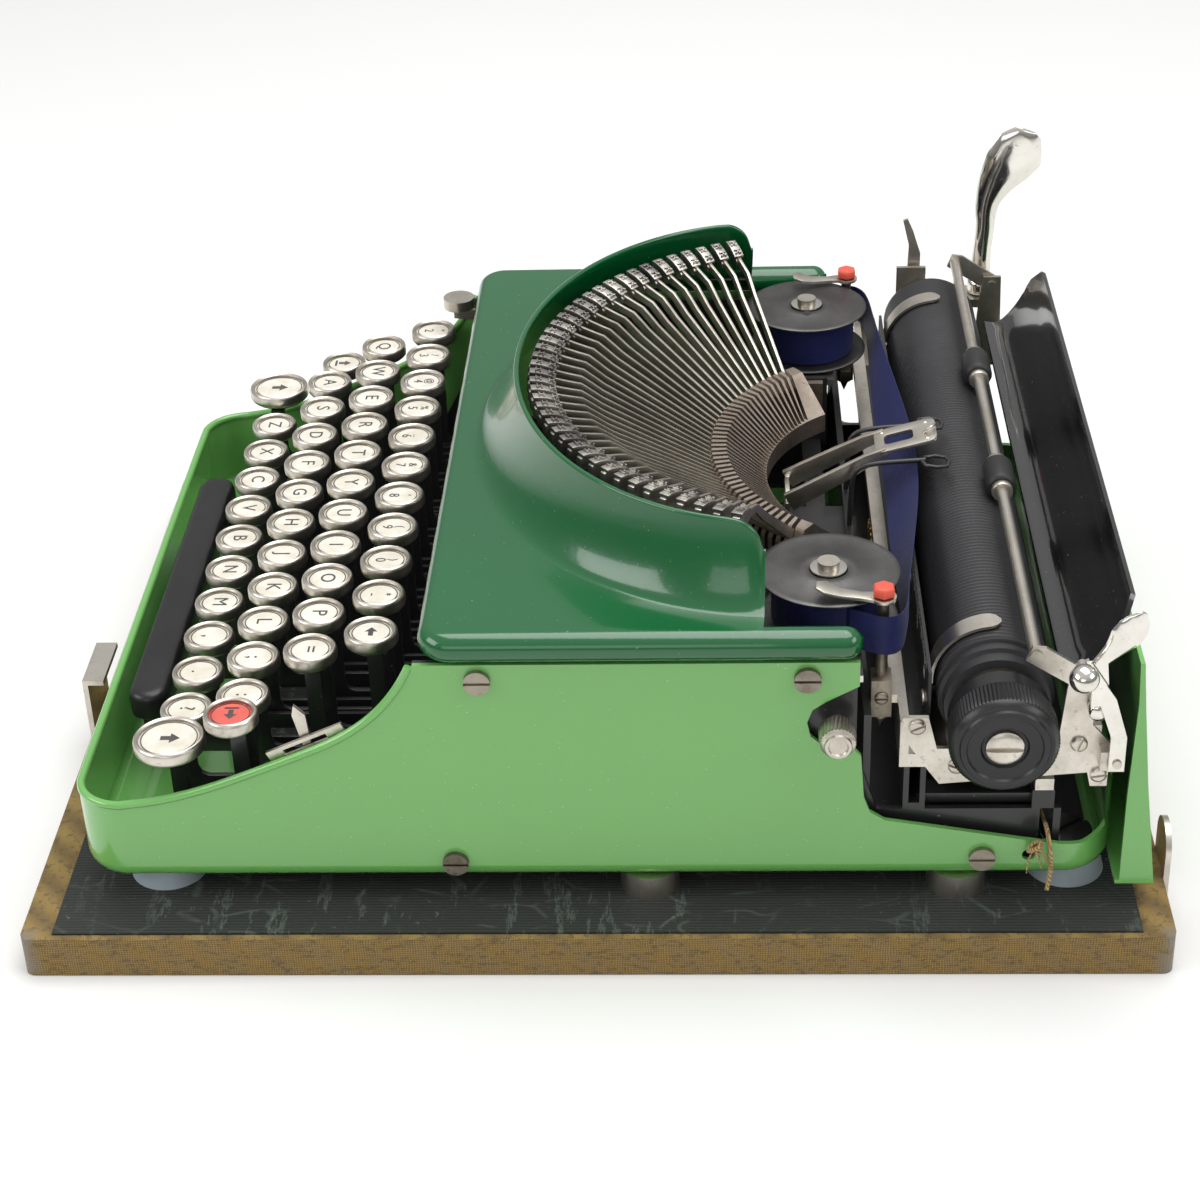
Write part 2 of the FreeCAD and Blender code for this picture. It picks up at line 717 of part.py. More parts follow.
def station_normal(stations, index):
    """Unit vector square to the ribbon at one station."""
    before = stations[max(index - 1, 0)]
    after = stations[min(index + 1, len(stations) - 1)]
    along = vec(*after[0]).sub(vec(*before[0]))
    across = vec(*stations[index][1]).sub(vec(*stations[index][0]))
    normal = along.cross(across)
    normal.normalize()
    return normal


def make_ribbon():
    right = ribbon_stations()
    left = [((-a[0], a[1], a[2]), (-b[0], b[1], b[2])) for a, b in right[:-1]]
    stations = right + left[::-1]
    rings = []
    for index, (low, up) in enumerate(stations):
        shift = station_normal(stations, index).multiply(ribbon_thickness)
        rings.append([vec(*low), vec(*up), vec(*up).add(shift), vec(*low).add(shift)])
    faces = []

    def triangle(a, b, c):
        faces.append(Part.Face(Part.makePolygon([a, b, c, a])))

    for ring, after in zip(rings[:-1], rings[1:]):
        for i in range(4):
            j = (i + 1) % 4
            triangle(ring[i], ring[j], after[j])
            triangle(ring[i], after[j], after[i])
    for end in (rings[0], rings[-1]):
        triangle(end[0], end[1], end[2])
        triangle(end[0], end[2], end[3])
    band = Part.Solid(Part.Shell(faces))
    if band.Volume < 0:
        band.reverse()
    save("ribbon", [band])


def make_vibrator():
    stem = box(-vibrator_bar_half, vibrator_bar_half, 56.0, 57.4, 56.0, 80.0)
    arms = []
    for side in (-1, 1):
        a = vec(side * 7.2, 56.7, 78.0)
        b = vec(side * 5.6, 84.6, 94.2)
        arms.append(strip(a, b, 4.0, 4.0, 1.4))
    head = prism_x([(83.5, 92.6), (83.5, 94.6), (96.5, 98.2), (97.6, 96.8)], -6.4, 6.4)
    window = box(-3.6, 3.6, 86.0, 93.0, 90.0, 100.0)
    save("ribbon_vibrator", [fuse([stem, head.cut(window)] + arms)])


def make_selector():
    outer = inner_wall - 0.7
    plate = prism_x([(-86.0, 59.0), (-64.6, 68.6), (-66.4, 72.2), (-87.6, 62.6)], outer - 1.0, outer)
    slot = prism_x([(-82.0, 62.0), (-70.0, 67.4), (-70.8, 69.0), (-82.8, 63.6)], outer - 2, outer + 1)
    bracket = box(outer - 1.3, inner_wall, -72.0, -68.0, 60.0, 64.6)
    save("selector_plate", [fuse([plate.cut(slot), bracket])])
    blade = prism_x([(-77.4, 64.0), (-75.2, 65.0), (-76.0, 74.0), (-79.0, 77.0), (-79.6, 74.0)],
                    outer - 2.7, outer - 1.4)
    save("selector_lever", [blade])


# ---------------------------------------------------------------- carriage rails and drive

drum_x = -84.0
drum_y = 107.0
drum_radius = 16.0
bell_x = 55.0
bell_y = 104.0
hammer_x = bell_x + 22.0
hammer_y = bell_y + 12.0
escape_z = 58.0


def make_rails():
    half = side_plate_x + side_plate_thickness
    front = box(-half, half, 85.0, 91.0, rail_bottom, rail_top)
    channel = box(-half - 1, half + 1, 86.5, 89.5, rail_bottom + 2, rail_top + 1)
    rear = box(-half, half, 120.0, 126.0, rail_bottom, rear_rail_top)
    links = []
    for side in (-1, 1):
        x = side * (half - 6.0)
        links.append(box(x - 3, x + 3, 84.9 + 4, 121.0, rail_bottom, rail_bottom + 3))
    save("carriage_rails", [fuse([front.cut(channel), rear] + links)])


def make_drum():
    drum = rod("z", (drum_x, drum_y, floor_top + 2.0), drum_radius, 9.0)
    groove = rod("z", (drum_x, drum_y, floor_top + 7.0), drum_radius + 1, 2.4)
    groove = groove.cut(rod("z", (drum_x, drum_y, floor_top + 6.0), drum_radius - 1.2, 5.0))
    bore = rod("z", (drum_x, drum_y, floor_top), 2.0 + running_gap, 14)
    save("mainspring_drum", [cut(drum, [groove, bore])])


def tooth_ring(centre, radius, depth, teeth):
    points = []
    for i in range(teeth):
        for part, r in ((0.0, radius), (0.35, radius), (0.5, radius - depth), (0.85, radius - depth)):
            a = 2 * math.pi * (i + part) / teeth
            points.append((centre[0] + r * math.sin(a), centre[1] + r * math.cos(a)))
    return points


def make_escape_wheel():
    wheel = prism_y(tooth_ring((0.0, escape_z), 9.0, 1.4, 24), 81.9, 83.3)
    wheel = wheel.cut(rod("y", (0, 77.0, escape_z), 1.5 + running_gap, 8))
    save("escape_wheel", [wheel])


def make_bell():
    z = floor_top + 8.0
    dome = Part.makeSphere(14.0, vec(bell_x, bell_y, z - 2.0))
    inner = Part.makeSphere(12.8, vec(bell_x, bell_y, z - 2.0))
    lower = box(bell_x - 20, bell_x + 20, bell_y - 20, bell_y + 20, z - 30, z - 0.5)
    gong = cut(dome, [inner, lower])
    gong = gong.cut(rod("z", (bell_x, bell_y, z), 1.2, 20))
    stem = rod("z", (bell_x, bell_y, floor_top + 10.0), 1.2, 12.4)
    save("bell", [fuse([gong, stem])])
    x = hammer_x
    arm = fuse([
        box(x - 1.0, x + 1.0, bell_y - 6.0, hammer_y, 29.0, 31.0),
        Part.makeSphere(2.6, vec(x, bell_y - 6.0, 30.0)),
        rod("z", (x, hammer_y, 27.6), 2.4, 4.0),
    ])
    pin = rod("z", (x, hammer_y, 20.0), 1.0 + running_gap, 14)
    save("bell_hammer", [arm.cut(pin)])


cord_radius = 0.6


def cord_tube(points, radius):
    """Round cord along straight runs joined by tangent arcs."""
    pts = [vec(*p) for p in points]
    edges = []
    start = pts[0]
    for before, at, after in zip(pts[:-2], pts[1:-1], pts[2:]):
        one = before.sub(at)
        two = after.sub(at)
        turn = math.pi - one.getAngle(two)
        shorter = min(one.Length, two.Length)
        reach = 0.45 * shorter
        bend = reach / math.tan(turn / 2)
        print("cord bend radius", round(bend, 1))
        one.normalize()
        two.normalize()
        p1 = at.add(vec(one.x, one.y, one.z).multiply(reach))
        p2 = at.add(vec(two.x, two.y, two.z).multiply(reach))
        middle = one.add(two)
        middle.normalize()
        inset = math.sqrt(bend * bend + reach * reach) - bend
        mid = at.add(middle.multiply(inset))
        edges.append(Part.makeLine(start, p1))
        edges.append(Part.Arc(p1, mid, p2).toShape())
        start = p2
    edges.append(Part.makeLine(start, pts[-1]))
    path = Part.Wire(edges)
    first = pts[1].sub(pts[0])
    ring = Part.Wire([Part.makeCircle(radius, pts[0], first)])
    tube = path.makePipeShell([ring], True, False)
    print("cord volume over section times length", tube.Volume / (math.pi * radius ** 2 * path.Length))
    return tube


def make_cord():
    z = floor_top + 8.2
    y = drum_y + drum_radius + cord_radius + 0.1
    route = [(drum_x, y, z), (-10.0, y, z + 0.6), (60.0, y, z + 0.2), (96.0, y + 0.2, z + 2.0),
             (107.0, y + 0.3, z + 4.6), (115.2, y + 0.6, z + 6.4), (119.0, y + 1.4, z + 1.0), (118.4, y + 1.8, z - 5.0),
             (119.6, y + 1.0, z - 11.0)]
    tube = cord_tube(route, cord_radius)
    save("draw_cord", [tube])


# ---------------------------------------------------------------- carriage

def end_plate(x0):
    """Side plate of the carriage, with the platen bearing and the lug for the bail."""
    x1 = x0 + plate_thickness
    base = prism_x([(84.0, 67.0), (84.0, 72.5), (91.0, 72.5), (93.5, 62.5), (125.5, 63.0), (127.0, 81.5),
                    (128.0, 88.0), (134.0, 88.0), (134.5, 70.0), (139.5, 64.0), (139.5, 50.0), (135.0, 50.0),
                    (134.0, 54.5), (94.5, 51.0), (90.0, 57.5)], x0, x1)
    hub = rod("x", (x0, platen_y, platen_z), 9.0, plate_thickness)
    link = prism_x([(103.0, 58.0), (103.0, 70.0), (116.0, 70.0), (116.0, 58.0)], x0, x1)
    bore = rod("x", (x0 - 1, platen_y, platen_z), shaft_radius + running_gap, plate_thickness + 2)
    pivot = rod("x", (x0 - 1, bail_pivot_y, bail_pivot_z), 1.5 + running_gap, plate_thickness + 2)
    axle = rod("x", (x0 - 1, feed_y, feed_z), 1.2 + running_gap, plate_thickness + 2)
    return cut(fuse([base, hub, link]), [bore, pivot, axle])


feed_y = platen_y + (platen_radius + feed_roller_radius + loose_gap) * math.sin(math.radians(30))
feed_z = platen_z - (platen_radius + feed_roller_radius + loose_gap) * math.cos(math.radians(30))
rack_y = 82.0
return_lever_x = plate_left - 6.4
release_y = 140.6
release_z = 61.5
rack_pitch = 2.5


def feed_rack(x0, x1):
    count = int((x1 - x0) / rack_pitch)
    points = [(x0, 71.0), (x0, 68.4)]
    for i in range(count):
        x = x0 + rack_pitch * i
        points += [(x + 0.5, 68.4), (x + 0.8, 67.4), (x + 1.7, 67.4), (x + 2.0, 68.4)]
    points += [(x1, 68.4), (x1, 71.0)]
    return prism_y(points, rack_y, rack_y + 1.6)


def make_carriage_frame():
    left = plate_left
    right = plate_right + plate_thickness
    front_bar = box(left + 0.5, right - 0.5, 85.5, 91.0, rail_top + loose_gap, rail_top + 4.5)
    rack_web = box(left + 0.5, right - 0.5, rack_y + 1.6, 86.0, rail_top + loose_gap, 71.0)
    rear_bar = box(left + 0.5, right - 0.5, 120.5, 125.5, rear_rail_top + loose_gap, 52.0)
    margin_bar = box(left + 0.5, right - 0.5, 134.3, 137.0, 64.0, 69.5)
    plates = [end_plate(plate_right), end_plate(plate_left)]
    lever_lug = box(return_lever_x - 5.5, plate_left + 0.2, 122.0, 133.0, 76.0, 79.0)
    lever_pin = rod("z", (return_lever_x, 127.5, 79.0), 2.0, 4.0)
    lug_link = box(plate_left, plate_left + plate_thickness, 98.0, 108.0, 78.0, 92.0)
    thumb_pin = rod("x", (plate_left - 3.2, 104.0, 90.0), 1.0, 3.4)
    rear_lug = box(plate_right + 1.0, plate_right + 5.8, 136.5, 142.0, 58.0, 64.0)
    release_pin = rod("x", (plate_right + 5.0, release_y, release_z), 1.2, 3.2)
    frame = fuse([front_bar, rack_web, rear_bar, margin_bar, lever_lug, lever_pin, lug_link, thumb_pin,
                  rear_lug, release_pin] + plates)
    frame = frame.cut(rod("x", (plate_left - 1, platen_y, platen_z), shaft_radius + running_gap, 3.5))
    rack = feed_rack(-118.0, 100.0)
    save("carriage_frame", [frame, rack])


def make_platen():
    sleeve = rod("x", (platen_left, platen_y, platen_z), platen_radius, platen_right - platen_left)
    sleeve = sleeve.cut(rod("x", (platen_left - 1, platen_y, platen_z), core_radius, platen_right - platen_left + 2))
    save("platen", [sleeve])
    core = rod("x", (platen_left, platen_y, platen_z), core_radius, platen_right - platen_left)
    shaft = rod("x", (plate_left - 1.0, platen_y, platen_z), shaft_radius, knob_start + 6 - plate_left + 1.0)
    wheel_points = [(platen_y + a - 0.0, b) for a, b in tooth_ring((0.0, platen_z), 13.4, 1.3, 36)]
    wheel = prism_x(wheel_points, platen_left - 3.2, platen_left)
    save("platen_shaft", [fuse([core, shaft, wheel])])
    grip = rod("x", (knob_start, platen_y, platen_z), knob_radius, knob_end - knob_start)
    edge = [e for e in grip.Edges if e.BoundBox.XMin > knob_end - 0.1]
    grip = grip.makeFillet(0.9, edge)
    bore = rod("x", (knob_start - 1, platen_y, platen_z), shaft_radius, 7.0)
    recess = rod("x", (knob_end - 1.2, platen_y, platen_z), 5.6, 2)
    screw = rod("x", (knob_end - 1.2, platen_y, platen_z), 4.9, 1.8)
    slot = box(knob_end, knob_end + 1, platen_y - 5, platen_y + 5, platen_z - 0.5, platen_z + 0.5)
    save("platen_knob", [cut(grip, [bore, recess]), screw.cut(slot)])


def make_feed_roller():
    axle = rod("x", (plate_left + 0.1, feed_y, feed_z), 1.2, plate_right + plate_thickness - plate_left - 0.2)
    rollers = []
    for x in (-100.0, -30.0, 40.0, 88.0):
        rollers.append(rod("x", (x - 9, feed_y, feed_z), feed_roller_radius, 18.0))
    save("feed_roller", [fuse([axle] + rollers)])


table_left = -112.0
table_right = 103.0


def make_paper_table():
    inner = [(126.4, 80.6), (129.4, 79.8), (133.0, 82.0), (137.0, 87.0), (140.8, 93.6), (144.6, 101.0)]
    outer = [(126.2, 79.6), (129.6, 78.7), (133.8, 81.2), (137.9, 86.4), (141.7, 93.1), (145.6, 100.6)]
    skin = prism_x(inner + outer[::-1], table_left, table_right)
    hooks = []
    for x in (table_left + 6, table_right - 6):
        hooks.append(prism_x([(129.0, 79.2), (132.5, 80.8), (136.0, 69.5), (134.6, 69.5)], x - 4, x + 4))
    save("paper_table", [fuse([skin] + hooks)])


def make_scale():
    plate = box(-118.0, 104.0, 91.4, 92.3, 60.5, 80.5)
    foot = box(-118.0, 104.0, 86.0, 92.3, 60.5, 61.5)
    save("scale_plate", [fuse([plate, foot])])


def finger_arc(x, width):
    """Strap that follows the platen from the scale plate over to the top."""
    inner_r = platen_radius + 0.5
    outer_r = platen_y - 92.3
    inner = []
    outer = []
    for i in range(9):
        a = math.radians(184 - 96 * i / 8)
        inner.append((platen_y + inner_r * math.cos(a), platen_z + inner_r * math.sin(a)))
        outer.append((platen_y + outer_r * math.cos(a), platen_z + outer_r * math.sin(a)))
    return prism_x(inner + outer[::-1], x - width / 2, x + width / 2)


def make_fingers():
    save("paper_fingers", [finger_arc(95.0, 7.0), finger_arc(-109.0, 7.0)])


def make_bail():
    arms = []
    for x in (plate_right + plate_thickness + 0.2, plate_left - 1.4):
        arm = prism_x([(bail_y - 2.6, bail_z - 1.5), (bail_y - 1.0, bail_z + 2.6), (bail_y + 2.6, bail_z + 2.2),
                       (bail_pivot_y + 2.6, bail_pivot_z + 1.6), (bail_pivot_y + 1.4, bail_pivot_z - 2.8),
                       (bail_pivot_y - 2.4, bail_pivot_z - 2.0)], x, x + sheet)
        arms.append(arm)
    rod_start = plate_left - 1.4
    rod_end = plate_right + plate_thickness + 0.2 + sheet
    bar = rod("x", (rod_start, bail_y, bail_z), 1.7, rod_end - rod_start + 0.8)
    pins = [rod("x", (plate_right - 0.6, bail_pivot_y, bail_pivot_z), 1.5, 3.4),
            rod("x", (plate_left - 1.4, bail_pivot_y, bail_pivot_z), 1.5, 3.5)]
    save("paper_bail", [fuse(arms + [bar] + pins)])
    rollers = []
    for x in (19.0, -52.6):
        tyre = rod("x", (x - bail_roller_length / 2, bail_y, bail_z), bail_roller_radius, bail_roller_length)
        rollers.append(tyre.cut(rod("x", (x - 10, bail_y, bail_z), 1.7 + running_gap, 20)))
    save("bail_rollers", rollers)


def make_carriage_levers():
    x = return_lever_x
    hub = rod("z", (x, 127.5, 79.3), 4.2, 4.6)
    hub = hub.cut(rod("z", (x, 127.5, 78.0), 2.0 + running_gap, 5.2))
    profile = [(126.0, 83.4), (129.0, 83.4), (130.6, 102.0), (133.0, 116.0), (139.0, 127.0), (145.6, 133.0),
               (143.6, 136.4), (136.0, 132.0), (129.6, 122.0), (126.6, 104.0)]
    spoon = prism_x(profile, x - 1.6, x + 1.6)
    save("return_lever", [fuse([hub, spoon])])
    y = 104.0
    thumb = prism_x([(y - 2.2, 88.0), (y + 2.2, 88.0), (y + 2.2, 96.0), (y - 0.4, 104.0), (y - 2.4, 108.6),
                     (y - 4.0, 108.0), (y - 1.8, 99.0)], plate_left - 2.8, plate_left - 1.4)
    thumb = thumb.cut(rod("x", (plate_left - 4, y, 90.0), 1.0 + running_gap, 4))
    save("line_space_lever", [thumb])
    x = plate_right + plate_thickness + sheet + 0.6
    blade = fuse([
        prism_x([(130.4, 90.6), (134.0, 90.6), (141.0, 98.0), (144.6, 106.0), (141.0, 107.0), (134.0, 99.0)],
                x + 1.2, x + 2.4),
        prism_x([(132.0, 92.6), (136.0, 96.6), (137.0, 74.5), (133.0, 74.5)], x + 1.2, x + 2.4),
        rod("x", (x - 1.0, 135.0, 76.5), 2.6, 3.4),
    ])
    save("paper_release_lever", [blade])
    x = plate_right + 6.3
    arm = prism_x([(138.4, 59.0), (142.6, 59.0), (142.6, 70.0), (139.0, 82.0), (131.0, 94.4), (127.6, 92.6),
                   (135.0, 80.0), (138.4, 70.0)], x, x + sheet)
    arm = arm.cut(rod("x", (x - 1, release_y, release_z), 1.2 + running_gap, 4))
    ball = Part.makeSphere(3.9, vec(x + 7.6, 129.0, 93.0))
    stalk = rod("x", (x, 129.4, 92.6), 1.5, 6.0)
    save("carriage_release_lever", [fuse([arm, ball, stalk])])


def make_margin_stops():
    for name, x in (("margin_stop_left", -70.0), ("margin_stop_right", 62.0)):
        block = box(x - 4, x + 4, 132.6, 139.2, 62.2, 74.0)
        channel = box(x - 5, x + 5, 134.3 - 0.3, 137.0 + 0.3, 60.0, 69.5 + 0.3)
        save(name, [block.cut(channel)])


def main():
    make_board()
    make_board_hardware()
    make_feet()
    make_body()
    make_rear_panel()
    make_cover()
    make_frame()
    make_comb()
    make_keys()
    make_space_bar()
    make_margin_release()
    make_type_bars()
    make_segment()
    make_raising_knob()
    make_spools()
    make_ribbon_guides()
    save("reverse_lever_right", [reverse_lever(1)])
    save("reverse_lever_left", [reverse_lever(-1)])
    make_ribbon()
    make_vibrator()
    make_selector()
    make_rails()
    make_drum()
    make_escape_wheel()
    make_bell()
    make_cord()
    make_carriage_frame()
    make_platen()
    make_feed_roller()
    make_paper_table()
    make_scale()
    make_fingers()
    make_bail()
    make_carriage_levers()
    make_margin_stops()


main()
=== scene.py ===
# %% [markdown]
# # A portable typewriter, finished around its packed frame
# The frame holds every mechanical part at its true size. Here each part gets its finish, and the parts
# whose forms are too fine for the frame, such as the key rings, the type bars and the pressed cover,
# are built again in detail on the same places.

# %% Load the frame
import bpy
import bmesh
import json
import math
import random
from mathutils import Matrix, Vector


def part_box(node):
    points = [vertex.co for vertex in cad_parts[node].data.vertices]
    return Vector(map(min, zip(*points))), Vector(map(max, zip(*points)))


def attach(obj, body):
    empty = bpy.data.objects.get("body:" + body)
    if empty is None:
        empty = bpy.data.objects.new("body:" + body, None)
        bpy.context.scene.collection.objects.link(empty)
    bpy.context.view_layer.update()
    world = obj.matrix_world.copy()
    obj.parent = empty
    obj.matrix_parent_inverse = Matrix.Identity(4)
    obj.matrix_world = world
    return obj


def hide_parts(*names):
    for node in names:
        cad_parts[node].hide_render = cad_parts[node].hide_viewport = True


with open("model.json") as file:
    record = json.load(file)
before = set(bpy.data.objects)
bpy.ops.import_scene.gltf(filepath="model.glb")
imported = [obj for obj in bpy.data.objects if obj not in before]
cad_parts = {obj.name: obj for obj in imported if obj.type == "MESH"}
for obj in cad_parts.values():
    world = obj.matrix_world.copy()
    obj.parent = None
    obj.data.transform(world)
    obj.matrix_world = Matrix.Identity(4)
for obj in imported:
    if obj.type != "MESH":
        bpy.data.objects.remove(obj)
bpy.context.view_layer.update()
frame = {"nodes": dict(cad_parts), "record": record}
mm = 0.001
nodes = frame["nodes"]

# %% [markdown]
# ## Camera
# The camera stands at the typist's right, a little above, with a long lens. Three angles could turn it,
# but its own axes (right, up and back, as the columns of its matrix) are exact and easier to check.

# %% Camera
camera_place = Vector((663.7, 34.4, 452.0)) * mm
camera_yaw, camera_pitch, camera_roll = 0.054, 0.555, -0.037
camera_lens, sensor_width = 74.97, 36.0
nearest_seen, farthest_seen = 0.02, 30.0


def add_camera():
    ahead = Vector((-math.cos(camera_pitch) * math.cos(camera_yaw),
                    -math.cos(camera_pitch) * math.sin(camera_yaw), -math.sin(camera_pitch)))
    right = ahead.cross(Vector((0, 0, 1))).normalized()
    up = right.cross(ahead)
    turned_right = right * math.cos(camera_roll) + up * math.sin(camera_roll)
    turned_up = up * math.cos(camera_roll) - right * math.sin(camera_roll)
    matrix = Matrix((turned_right, turned_up, -ahead)).transposed().to_4x4()
    matrix.translation = camera_place
    camera = bpy.data.objects.new("camera", bpy.data.cameras.new("camera"))
    bpy.context.scene.collection.objects.link(camera)
    camera.matrix_world = matrix
    camera.data.lens = camera_lens
    camera.data.sensor_width = sensor_width
    camera.data.clip_start, camera.data.clip_end = nearest_seen, farthest_seen
    bpy.context.scene.camera = camera


add_camera()
print("camera at", [round(v, 3) for v in camera_place])

# %% [markdown]
# ## Soft boxes
# Small hard lamps would give sharp shadows and tiny glints. Large rectangles of light close by give the
# long soft streaks that enamel and nickel need, so every lamp here is an area light.

# %% Soft boxes
def soft_box(name, place, aim, size, power, colour=(1, 1, 1)):
    light = bpy.data.lights.new(name, "AREA")
    light.shape = "RECTANGLE"
    light.size, light.size_y = size
    light.energy = power
    light.color = colour
    box_object = bpy.data.objects.new(name, light)
    bpy.context.scene.collection.objects.link(box_object)
    box_object.location = place
    box_object.rotation_euler = (Vector(aim) - Vector(place)).to_track_quat("-Z", "Y").to_euler()
    return box_object


soft_box("top_box", (-0.1, 0.15, 1.25), (0, 0, 0.05), (1.3, 0.9), 13)
soft_box("front_box", (0.45, -1.15, 0.75), (0, 0, 0.06), (0.9, 0.6), 6)
soft_box("rear_box", (0.5, 1.15, 0.8), (0, 0, 0.06), (0.8, 0.5), 4)
soft_box("near_box", (1.25, -0.25, 0.5), (0, 0, 0.05), (0.7, 0.4), 1.1)

# %% [markdown]
# ## The room round it
# Light from every side fills the shadows. One even grey would do, but a room that is darker near the
# floor and brighter overhead gives round metal something to reflect. A Map Range node turns the height of
# a direction into the strength of its light.

# %% Room
room_colour, room_strength = (1.0, 1.0, 1.0), 0.52
dark_height, bright_height = -0.05, 0.75
dark_share, bright_share = 0.35, 1.35


def set_world(colour, strength):
    world = bpy.data.worlds.new("studio")
    bpy.context.scene.world = world
    world.use_nodes = True
    tree = world.node_tree
    back = tree.nodes["Background"]
    back.inputs["Color"].default_value = (*colour, 1)
    place = tree.nodes.new("ShaderNodeTexCoord")
    split = tree.nodes.new("ShaderNodeSeparateXYZ")
    rise = tree.nodes.new("ShaderNodeMapRange")
    rise.inputs["From Min"].default_value = dark_height
    rise.inputs["From Max"].default_value = bright_height
    rise.inputs["To Min"].default_value = strength * dark_share
    rise.inputs["To Max"].default_value = strength * bright_share
    tree.links.new(place.outputs["Generated"], split.inputs["Vector"])
    tree.links.new(split.outputs["Z"], rise.inputs["Value"])
    tree.links.new(rise.outputs["Result"], back.inputs["Strength"])


set_world(room_colour, room_strength)
bpy.context.scene.view_settings.view_transform = "Standard"
print("room strength:", room_strength)

# %% [markdown] ## Floor The object stands on white paper.

# %% Floor
floor_half, floor_gap = 4.0, 0.0002
floor_mesh = bpy.data.meshes.new("floor")
floor_mesh.from_pydata([(-floor_half, -floor_half, 0), (floor_half, -floor_half, 0),
                        (floor_half, floor_half, 0), (-floor_half, floor_half, 0)], [], [(0, 1, 2, 3)])
floor = bpy.data.objects.new("floor", floor_mesh)
bpy.context.scene.collection.objects.link(floor)
floor.location.z = -floor_gap
print("floor side:", 2 * floor_half, "m")

# %% [markdown]
# ## Writing shaders as sums
# A shader graph is arithmetic, so it reads best as arithmetic. `Socket` wraps one node output and
# overloads the signs, so that `1 - mask` adds a Math node. `Finish` holds one material, and its `node`
# method makes any node: its settings are set first, then the values or links of its sockets.

# %% Socket and Finish
class Socket:
    """One node output that can be added, subtracted and multiplied."""

    def __init__(self, finish, socket):
        self.finish = finish
        self.socket = socket

    def maths(self, operation, *values):
        return self.finish.node("ShaderNodeMath", {"operation": operation}, dict(enumerate(values)))

    def __add__(self, other):
        return self.maths("ADD", self, other)

    def __radd__(self, other):
        return self.maths("ADD", other, self)

    def __sub__(self, other):
        return self.maths("SUBTRACT", self, other)

    def __rsub__(self, other):
        return self.maths("SUBTRACT", other, self)

    def __mul__(self, other):
        return self.maths("MULTIPLY", self, other)

    def __rmul__(self, other):
        return self.maths("MULTIPLY", other, self)

    def sine(self):
        return self.maths("SINE", self)

    def size(self):
        return self.maths("ABSOLUTE", self)

    def above(self, edge, soft=0.02):
        """0 below the edge and 1 above it, with a soft step."""
        settings = {"interpolation_type": "SMOOTHSTEP"}
        return self.finish.node("ShaderNodeMapRange", settings, {0: self, 1: edge - soft, 2: edge + soft})


class Finish:
    """One material, built from named helpers."""

    def __init__(self, name, **constants):
        self.material = bpy.data.materials.new(name)
        self.material.use_nodes = True
        self.tree = self.material.node_tree
        self.shader = self.tree.nodes["Principled BSDF"]
        self.place = self.node("ShaderNodeTexCoord", output="Object")
        for key, value in constants.items():
            self.feed(self.shader.inputs[key.replace("_", " ")], value)

    def feed(self, socket, value):
        if isinstance(value, Socket):
            self.tree.links.new(value.socket, socket)
        elif isinstance(value, tuple) and len(value) == 3 and len(socket.default_value) == 4:
            socket.default_value = (*value, 1)
        else:
            socket.default_value = value

    def node(self, kind, settings=None, inputs=None, output=0):
        made = self.tree.nodes.new(kind)
        for key, value in (settings or {}).items():
            setattr(made, key, value)
        for key, value in (inputs or {}).items():
            self.feed(made.inputs[key], value)
        return Socket(self, made.outputs[output])

    def noise(self, scale, detail=3.0, roughness=0.55, place=None):
        return self.node("ShaderNodeTexNoise", None,
                         {"Vector": place or self.place, "Scale": scale, "Detail": detail,
                          "Roughness": roughness})

    def stretched(self, scale):
        return self.node("ShaderNodeMapping", None, {"Vector": self.place, "Scale": scale})

    def axes(self):
        made = self.tree.nodes.new("ShaderNodeSeparateXYZ")
        self.feed(made.inputs[0], self.place)
        return [Socket(self, out) for out in made.outputs]

    def mix(self, factor, first, second):
        sockets = {0: factor, 6: first, 7: second}
        return self.node("ShaderNodeMix", {"data_type": "RGBA"}, sockets, output=2)

    def bump(self, height, strength, depth):
        sockets = {"Height": height, "Strength": strength, "Distance": depth}
        return self.node("ShaderNodeBump", None, sockets)

    def set(self, **links):
        for key, value in links.items():
            self.feed(self.shader.inputs[key.replace("_", " ")], value)
        return self.material


print("shader helpers ready")

# %% [markdown]
# ## Enamel
# Stoved enamel is a thick glossy skin over sheet steel. It ripples very slightly (orange peel), carries
# dust and rubbed spots, and its colour drifts a little. A clear coat over a slightly rough base gives the
# sharp streak on a soft body colour.

# %% Enamels
chip_colour, dust_colour = (0.10, 0.10, 0.07), (0.5, 0.55, 0.45)


def enamel(name, colour, darker, peel=0.18, rough=0.16, coat=0.8):
    finish = Finish(name, Coat_Weight=coat, Coat_Roughness=0.07, IOR=1.5)
    broad = finish.noise(9.0, 4.0)
    specks = finish.noise(900.0, 2.0).above(0.74, 0.02)
    chips = finish.noise(70.0, 6.0, 0.7).above(0.735, 0.006)
    worn = finish.mix(chips * 0.55, finish.mix(broad, darker, colour), chip_colour)
    peel_height = finish.noise(420.0, 2.0)
    return finish.set(Base_Color=finish.mix(specks * 0.25, worn, dust_colour),
                      Roughness=rough + finish.noise(26.0, 5.0) * 0.12 + specks * 0.2,
                      Normal=finish.bump(peel_height, peel, 0.0002))


light_green = enamel("light_green_enamel", (0.150, 0.420, 0.098), (0.135, 0.38, 0.088))
dark_green = enamel("dark_green_enamel", (0.0005, 0.108, 0.026), (0.0005, 0.086, 0.020), rough=0.13,
                    coat=0.6)
satin_black = enamel("black_enamel", (0.012, 0.012, 0.013), (0.018, 0.018, 0.018), rough=0.34, coat=0.3)
gloss_black = enamel("glossy_black", (0.006, 0.006, 0.007), (0.009, 0.009, 0.010), rough=0.08, coat=1.0)
print("enamels:", light_green.name, dark_green.name, satin_black.name, gloss_black.name)

